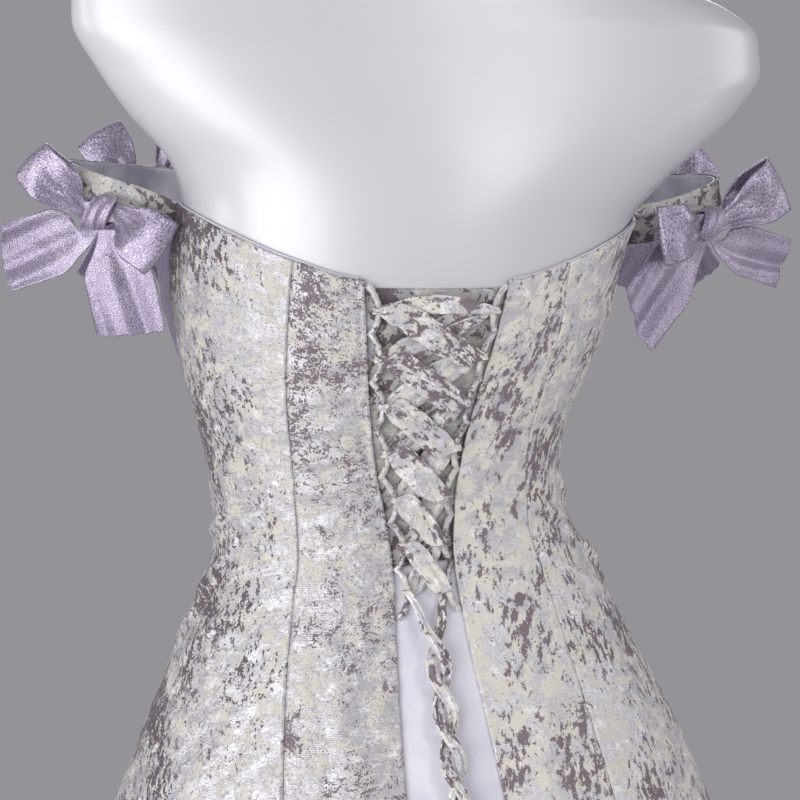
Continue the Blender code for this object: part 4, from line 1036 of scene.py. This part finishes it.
rouleau = brocade("jacquard_rouleau", 15.0, grain=70.0, fleck=(0.0036, 0.0036), sparse=0.58)
for side, word in SIDES:
    step = np.arange(LACE_LEVELS * 24 + 1) / 24
    height = LACE_TOP + LACE_PITCH / 2 - step * LACE_PITCH
    bulge = np.abs(np.sin(math.pi * step)) ** LOOP_POWER
    foot = half_gap(height) - LOOP_RADIUS - LOOP_FOOT_GAP
    reach = foot + (half_gap(height) - LOOP_REACH - foot) * bulge
    path = back_points(side * reach, height, LOOP_FOOT_OUT + (LOOP_TIP_OUT - LOOP_FOOT_OUT) * bulge)
    ahead = unit(np.gradient(path, axis=0))
    outwards = unit(back_points(side * reach, height, 0.02) - back_points(side * reach, height, 0.0))
    wide = unit(np.cross(ahead, outwards))
    deep = np.cross(wide, ahead)
    turn = once_round(12)
    thick = LOOP_RADIUS * (TUBE_FULL + TUBE_UNEVEN * np.sin(step * 41))[:, None]
    points = carried(path, wide, deep, np.stack([thick * np.cos(turn), thick * np.sin(turn)], -1))
    mesh = grid_mesh("rouleau_" + word, points, closed=True, capped=True, uv=flat_lay(wrapped(points)))
    put("rouleau_" + word, mesh, rouleau, ["lace_loops_" + word])

# The lace: one strip of jacquard folded flat, at most 18 mm wide where it crosses, and drawn narrow in the
# loops. It is laced from the top bar down, and its two free ends are twisted round each other down the skirt.
HAIRPIN, HAIRPIN_HALF_WIDTH = 0.0034, 0.0023
LACE_END, LACE_END_STEPS = 0.680, 58
LACE_HALF_THICKNESS, LACE_HALF_WIDTH, LACE_PUFF, LACE_FULLNESS = 0.0008, 0.0092, 0.0010, 0.30
LACE_SHARE, LACE_CLEAR, LACE_SAG, FOLD_STEP = 0.38, 0.0008, 0.0012, 0.10
BAR_HALF_WIDTH, BAR_RISE = 0.0060, 0.0040
TWIST_PITCH, TWIST_ACROSS, TWIST_DEPTH, TWIST_OUT = 0.029, 0.0047, 0.0034, 0.0110
STRAND_HALF_WIDTH = 0.0038
OVER, UNDER = LOOP_TIP_OUT + HAIRPIN, LOOP_TIP_OUT - HAIRPIN


def lays(across, height, out, half_width, half_thickness):
    """Rows of the lace: place across, height, distance out, half width and half thickness."""
    return np.stack(np.broadcast_arrays(across, height, out, half_width, half_thickness), -1)


def loop_tip(level):
    return half_gap(np.array(LACE_TOP - level * LACE_PITCH)) - LOOP_REACH


def crossing_leg(level, side):
    """From the loop of a level on one side to the loop below on the other: an even slant whose width swells
    with a low power of a sine, to a share of the opening at most. The leg that starts on the left lies over
    the other and sags a little onto it."""
    share = np.arange(1, 6) / 6
    height = LACE_TOP - (level + smooth(share)) * LACE_PITCH
    middle = np.sin(math.pi * share)
    broad = np.minimum(LACE_HALF_WIDTH, LACE_SHARE * half_gap(height) - LACE_CLEAR)
    here, there = side * loop_tip(level), -side * loop_tip(level + 1)
    out = OVER - LACE_SAG * middle if side > 0 else UNDER + 0 * middle
    wide = HAIRPIN_HALF_WIDTH + (broad - HAIRPIN_HALF_WIDTH) * middle**LACE_FULLNESS
    return lays(here + (there - here) * share, height, out, wide, LACE_HALF_THICKNESS + LACE_PUFF * middle)


def hairpin(level, side, enters_over):
    """Round the loop of a level: a half circle."""
    turn = math.pi * np.arange(5) / 4
    out = LOOP_TIP_OUT + HAIRPIN * np.cos(turn) * (1 if enters_over else -1)
    return lays(side * (loop_tip(level) + HAIRPIN * np.sin(turn)), LACE_TOP - level * LACE_PITCH, out,
                HAIRPIN_HALF_WIDTH, LACE_HALF_THICKNESS)


def laced_side(side):
    """From the top loop on one side down to the last loop."""
    made = []
    for level in range(LACE_LEVELS - 1):
        made.append(crossing_leg(level, side))
        side = -side
        made.append(hairpin(level + 1, side, side < 0))
    return made, side


def free_end(side):
    """From the last loop down the middle of the back, gathered in and turned in a spiral round the other
    end."""
    start = LACE_TOP - (LACE_LEVELS - 1) * LACE_PITCH
    height = np.linspace(start - 0.010, LACE_END, LACE_END_STEPS)
    gathered = smooth((start - height) / 0.030)
    turn = math.pi * np.maximum(0.0, start - 0.018 - height) / TWIST_PITCH
    across = side * TWIST_ACROSS * np.cos(turn)
    out = TWIST_OUT + side * TWIST_DEPTH * np.sin(turn)
    here, leaves = side * loop_tip(LACE_LEVELS - 1) * 0.75, OVER if side > 0 else UNDER
    wide = HAIRPIN_HALF_WIDTH + (STRAND_HALF_WIDTH - HAIRPIN_HALF_WIDTH) * gathered
    return lays(here + (across - here) * gathered, height, leaves + (out - leaves) * gathered,
                wide, LACE_HALF_THICKNESS * (1 + gathered))


left_laced, left_last = laced_side(1)
right_laced, right_last = laced_side(-1)
share = np.arange(1, 6) / 6
middle = np.sin(math.pi * share)
top_bar = lays(loop_tip(0) * (1 - 2 * share), LACE_TOP + BAR_RISE * middle, UNDER + (OVER - UNDER) * share,
               HAIRPIN_HALF_WIDTH + (BAR_HALF_WIDTH - HAIRPIN_HALF_WIDTH) * middle, LACE_HALF_THICKNESS)
route = np.vstack([np.vstack(left_laced + [free_end(left_last)])[::-1], hairpin(0, 1, True), top_bar,
                   hairpin(0, -1, True)] + right_laced + [free_end(right_last)])
path = back_points(route[:, 0], route[:, 1], route[:, 2])
ahead = unit(np.concatenate([path[1:], path[-1:]]) - np.concatenate([path[:1], path[:-1]]))
outwards = unit(back_points(route[:, 0], route[:, 1], route[:, 2] + 0.001) - path)
upright = np.abs((ahead * outwards).sum(1, keepdims=True)) >= 0.6
wide = np.where(upright, np.array([[0.0, 0.0, 1.0]]), unit(np.cross(ahead, outwards) + 1e-9))
turned_over = np.sign((wide[1:] * wide[:-1]).sum(1))
wide = wide * np.concatenate([[1.0], turned_over.cumprod()])[:, None]
deep = unit(np.cross(wide, ahead))
fine = refine(np.hstack([path, wide * route[:, 3:4], deep * route[:, 4:5]]), 6)
path, wide, deep = fine[:, :3], fine[:, 3:6], fine[:, 6:]
along = np.concatenate([[0.0], np.linalg.norm(np.diff(path, axis=0), axis=1).cumsum()])[:, None]
turn = once_round(48)[None, :]
# a flat tube whose upper fold ends in a step that wanders from side to side, with finer ripples beside it
place = np.cos(turn)
fold = (0.62 * np.tanh((place - 0.45 * np.sin(along * 62 + 0.8)) / FOLD_STEP)
        - 0.34 * np.tanh((place + 0.55) / FOLD_STEP) + 0.16 * np.cos(9.0 * place + along * 150))
profile = np.stack([place * (1 + 0.04 * np.sin(along * 330)),
                    np.sign(np.sin(turn)) * np.abs(np.sin(turn)) ** 0.6 * (1.05 + fold)], -1)
points = carried(path, wide, deep, profile)
# its jacquard is brightened: painted light that sets the lace off against the shaded panel behind
lace_cloth = brocade("jacquard_lace", 18.0, fleck=(0.0034, 0.0060), sparse=0.572, patches=0.620, white_and_sheen=0.57,
                     painted_brightness=1.18)
mesh = grid_mesh("lace_strip", points, closed=True, capped=True, uv=flat_lay(wrapped(points)))
lace = put("lace_strip", mesh, lace_cloth, ["lace"])
(_, length), area = cut_size(wrapped(points))

# The bows: satin ribbon about 40 mm wide, folded into two loops and drawn in by a wrapped knot, with two
# tails that hang from it. Each is sewn through its knot to the strap.
BOWS = {
    # side, share along the strap, drop, then turn, length and half width of each loop and tail
    "back_left": (1, 0.210, 0.011, (135.0, 0.056, 0.016), (-34.0, 0.052, 0.020), (199.0, 0.074, 0.022),
                  (286.0, 0.082, 0.023)),
    "back_right": (-1, 0.245, 0.011, (28.0, 0.060, 0.020), (187.0, 0.058, 0.019), (215.0, 0.098, 0.024),
                   (341.0, 0.076, 0.018)),
    "front_left": (1, 0.780, 0.004, (116.0, 0.054, 0.013), (58.0, 0.050, 0.016), (246.0, 0.070, 0.019),
                   (296.0, 0.070, 0.019)),
    "front_right": (-1, 0.640, 0.004, (140.0, 0.046, 0.015), (24.0, 0.054, 0.020), (240.0, 0.070, 0.019),
                    (292.0, 0.070, 0.019)),
}
RIBBON_WALL, KNOT_WALL = 0.0010, 0.0014
NECK_HALF, NECK_REACH = 0.0065, 0.0096
LOOP_PUFF, LOOP_BACK_PUFF, LAYER_GAP, LOOP_LIFT = 0.0105, 0.35, 0.0013, 0.28
LOOP_CREASE, LOOP_WAVE, LOOP_END_BOW = 0.0016, 0.0012, 0.0022
TAIL_WAVE, TAIL_DENT, TAIL_SLANT, TAIL_CORNER, FRAY, FRAY_FROM = 0.0021, 0.0006, 0.18, 0.11, 0.0005, 0.93
PLEAT, KNOT_FULL, KNOT_SLANT = 0.00085, 0.0010, 0.0044
TAIL_BEHIND, TAIL_ROOT_BEHIND, TAIL_ROOT_ACROSS = 0.0038, 0.0008, 0.0044
TAIL_APART, TAIL_RISE = 0.0016, 0.0050
KNOT_HALF_LENGTH, KNOT_PLAY, KNOT_SWELL = 0.0084, 0.0018, 0.16
KNOT_HIGH = NECK_HALF + KNOT_PLAY + KNOT_WALL / 2
KNOT_DEEP = LAYER_GAP + RIBBON_WALL / 2 + KNOT_PLAY + KNOT_WALL / 2


def bow_place(side, share, drop):
    """Middle of a bow on its strap, and its directions along the strap, up and outwards."""
    middle, away, up = strap_line(side, STRAP_STEPS + 1)
    at = round(share * STRAP_STEPS)
    sideways = unit(np.cross(up[at], away[at]))
    outwards = unit(np.cross(sideways, up[at]))
    stand_off = STRAP_WALL / 2 + SMALL_GAP + KNOT_DEEP * (1 + KNOT_SWELL) + KNOT_WALL / 2
    return middle[at] + outwards * stand_off - up[at] * drop, np.stack([sideways, up[at], outwards])


def headings(turn):
    """The direction at an angle from level, and the one square to it."""
    heading = np.array([math.cos(math.radians(turn)), math.sin(math.radians(turn))])
    return heading, np.array([-heading[1], heading[0]])


def loop_points(number, turn, length, half_width, seed):
    """One loop of a bow: round it goes a sweep that runs out along the heading by a cosine and back, puffed
    by a sine; across it the ribbon widens from the neck, pillowed, with soft creases that fan from the
    knot."""
    heading, crosswise = headings(turn)
    hand = 1 if heading[0] > 0 else -1
    sweep = (2 * math.pi * (np.arange(72) + 0.5) / 72)[None, :]
    sweep = sweep if number == 0 else 2 * math.pi - sweep
    share = np.linspace(-1, 1, 29)[:, None]
    reach = length * (1 - np.cos(sweep)) / 2
    beyond = np.maximum(0.0, reach - NECK_REACH)
    free = beyond / (length - NECK_REACH)
    puff = LOOP_PUFF * np.where(sweep < math.pi, 1.0, LOOP_BACK_PUFF)
    depth = puff * np.sin(sweep) * smooth(1.6 * free) * (1.0 - 0.06 * share**2)
    depth = LAYER_GAP * np.cos(sweep / 2) + depth
    fan = np.exp(-((free - 0.22) / 0.22) ** 2)
    creases = (np.cos(6.2 * share + seed) + 0.6 * np.cos(11.0 * share + 2.3 * seed + 4.0 * free)) * fan
    middle = smooth(2.0 * free) * (1 - smooth(1.6 * free - 0.6))
    creases += 0.9 * np.cos(3.1 * share + 5.0 * free + seed) * middle
    creases += 0.8 * np.sin(9.0 * free - 2.6 * share + 1.9 * seed) * smooth(3.0 * free)
    depth = depth + LOOP_CREASE * creases * np.sign(np.sin(sweep)) * smooth(4.0 * free) * (1 - free**4)
    half = NECK_HALF + (half_width - NECK_HALF) * smooth(1.5 * free)
    half = half + LOOP_WAVE * np.sin(5 * free + seed) * free
    blend = smooth(3 * free)[..., None]
    width = unit(np.array([0.0, 1.0]) * (1 - blend) + crosswise * hand * blend)
    centre = np.minimum(reach, NECK_REACH)[..., None] * np.array([hand, 0.0]) + heading * beyond[..., None]
    bow_out = LOOP_END_BOW * free**2 * (1 - share**2)
    spot = centre + width * (half * share)[..., None] + heading * bow_out[..., None]
    return np.concatenate([spot, (depth + LOOP_LIFT * beyond)[..., None] + 0 * share[..., None]], -1)


def tail_points(number, turn, length, half_width, seed):
    """A tail of a bow: from under the knot along its heading, widening, with lengthwise waves that grow
    towards a slanting cut end whose threads are a little uneven."""
    start = KNOT_HIGH * (1 + KNOT_SWELL) + KNOT_WALL / 2
    heading, crosswise = headings(turn)
    root = np.array([TAIL_ROOT_ACROSS * (2 * number - 1), -start])
    narrow = 0.9 * NECK_HALF
    share, column = np.linspace(0, 1, 47)[:, None], np.linspace(-1, 1, 35)[None, :]
    half = narrow + (half_width - narrow) * smooth(2.2 * share)
    blend = smooth(4 * share)[..., None]
    level_end = unit(np.array([1.0, 0.0]) * (1 - blend) + crosswise * blend)
    behind = TAIL_ROOT_BEHIND + (TAIL_BEHIND - TAIL_ROOT_BEHIND) * smooth(5 * share)
    waves = np.cos(3.6 * column + seed) + 0.5 * np.cos(8.0 * column + 1.7 * seed - 3.0 * share)
    depth = (TAIL_RISE * share**2 + TAIL_APART * number * smooth(5 * share) - behind
             + TAIL_WAVE * waves * smooth(1.4 * share) - TAIL_DENT * np.exp(-((share - 0.18) / 0.12) ** 2))
    fray = FRAY * (np.sin(91.0 * column + seed) + np.sin(57.0 * column + 2 * seed))
    fray = fray * np.maximum(0, share - FRAY_FROM) / (1 - FRAY_FROM)
    corner = -TAIL_CORNER * half_width * column**8 * share**6
    reach = (length - start) * share + TAIL_SLANT * half_width * column * share + fray + corner
    spot = root + heading * reach[..., None] + level_end * (half * column)[..., None]
    return np.concatenate([spot, depth[..., None]], -1)


def knot_points(seed):
    """The wrapped knot: an oval ring, fuller in its middle, with the small pleats of the gathered ribbon."""
    turn = once_round(72)[None, :]
    share = np.linspace(-1, 1, 21)[:, None]
    swell = 1 + KNOT_SWELL * (1 - np.abs(share) ** 1.5)
    pleats = PLEAT * (np.cos(6.0 * share + seed + 1.6 * np.sin(turn)) + 0.5 * np.cos(13.0 * share + 2 * seed))
    outside = smooth(1.2 * np.sin(turn) + 0.6)
    high = KNOT_HIGH * swell + pleats * outside
    deep = KNOT_DEEP * swell + (pleats + KNOT_FULL * (1 - share**2)) * outside
    slant = KNOT_SLANT * np.cos(turn) * outside
    return np.stack([KNOT_HALF_LENGTH * share + slant, high * np.cos(turn), deep * np.sin(turn)], -1)


ribbon_satin = satin("ribbon_satin", (0.360, 0.308, 0.430, 1.0), (0.480, 0.422, 0.545, 1.0), 41.0,
                     roughness=0.24, metallic=0.60, floats=0.02, speckle=0.62, crush=0.6)
for number, (word, (side, share, drop, *ribbons)) in enumerate(BOWS.items()):
    place, directions = bow_place(side, share, drop)
    strap = "cloth_strap_left" if side > 0 else "cloth_strap_right"
    loops = np.concatenate([loop_points(i, *ribbons[i], seed=1.3 * number + i) for i in range(2)], 1)
    knot = knot_points(number)
    cloth_piece("ribbon_loops_" + word, "bow_loops_" + word, place + loops @ directions, RIBBON_WALL,
                ribbon_satin, closed=True)
    cloth_piece("ribbon_knot_" + word, "bow_knot_" + word, place + knot @ directions, KNOT_WALL, ribbon_satin,
                closed=True)
    for i in range(2):
        tail = tail_points(i, *ribbons[2 + i], seed=2.1 * number + 1.7 * i)
        cloth_piece(f"ribbon_tail_{word}_{i + 1}", f"bow_tail_{word}_{i + 1}", place + tail @ directions,
                    RIBBON_WALL, ribbon_satin)

size = {"cad": cad_box, "visual": [list(corner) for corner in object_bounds()]}
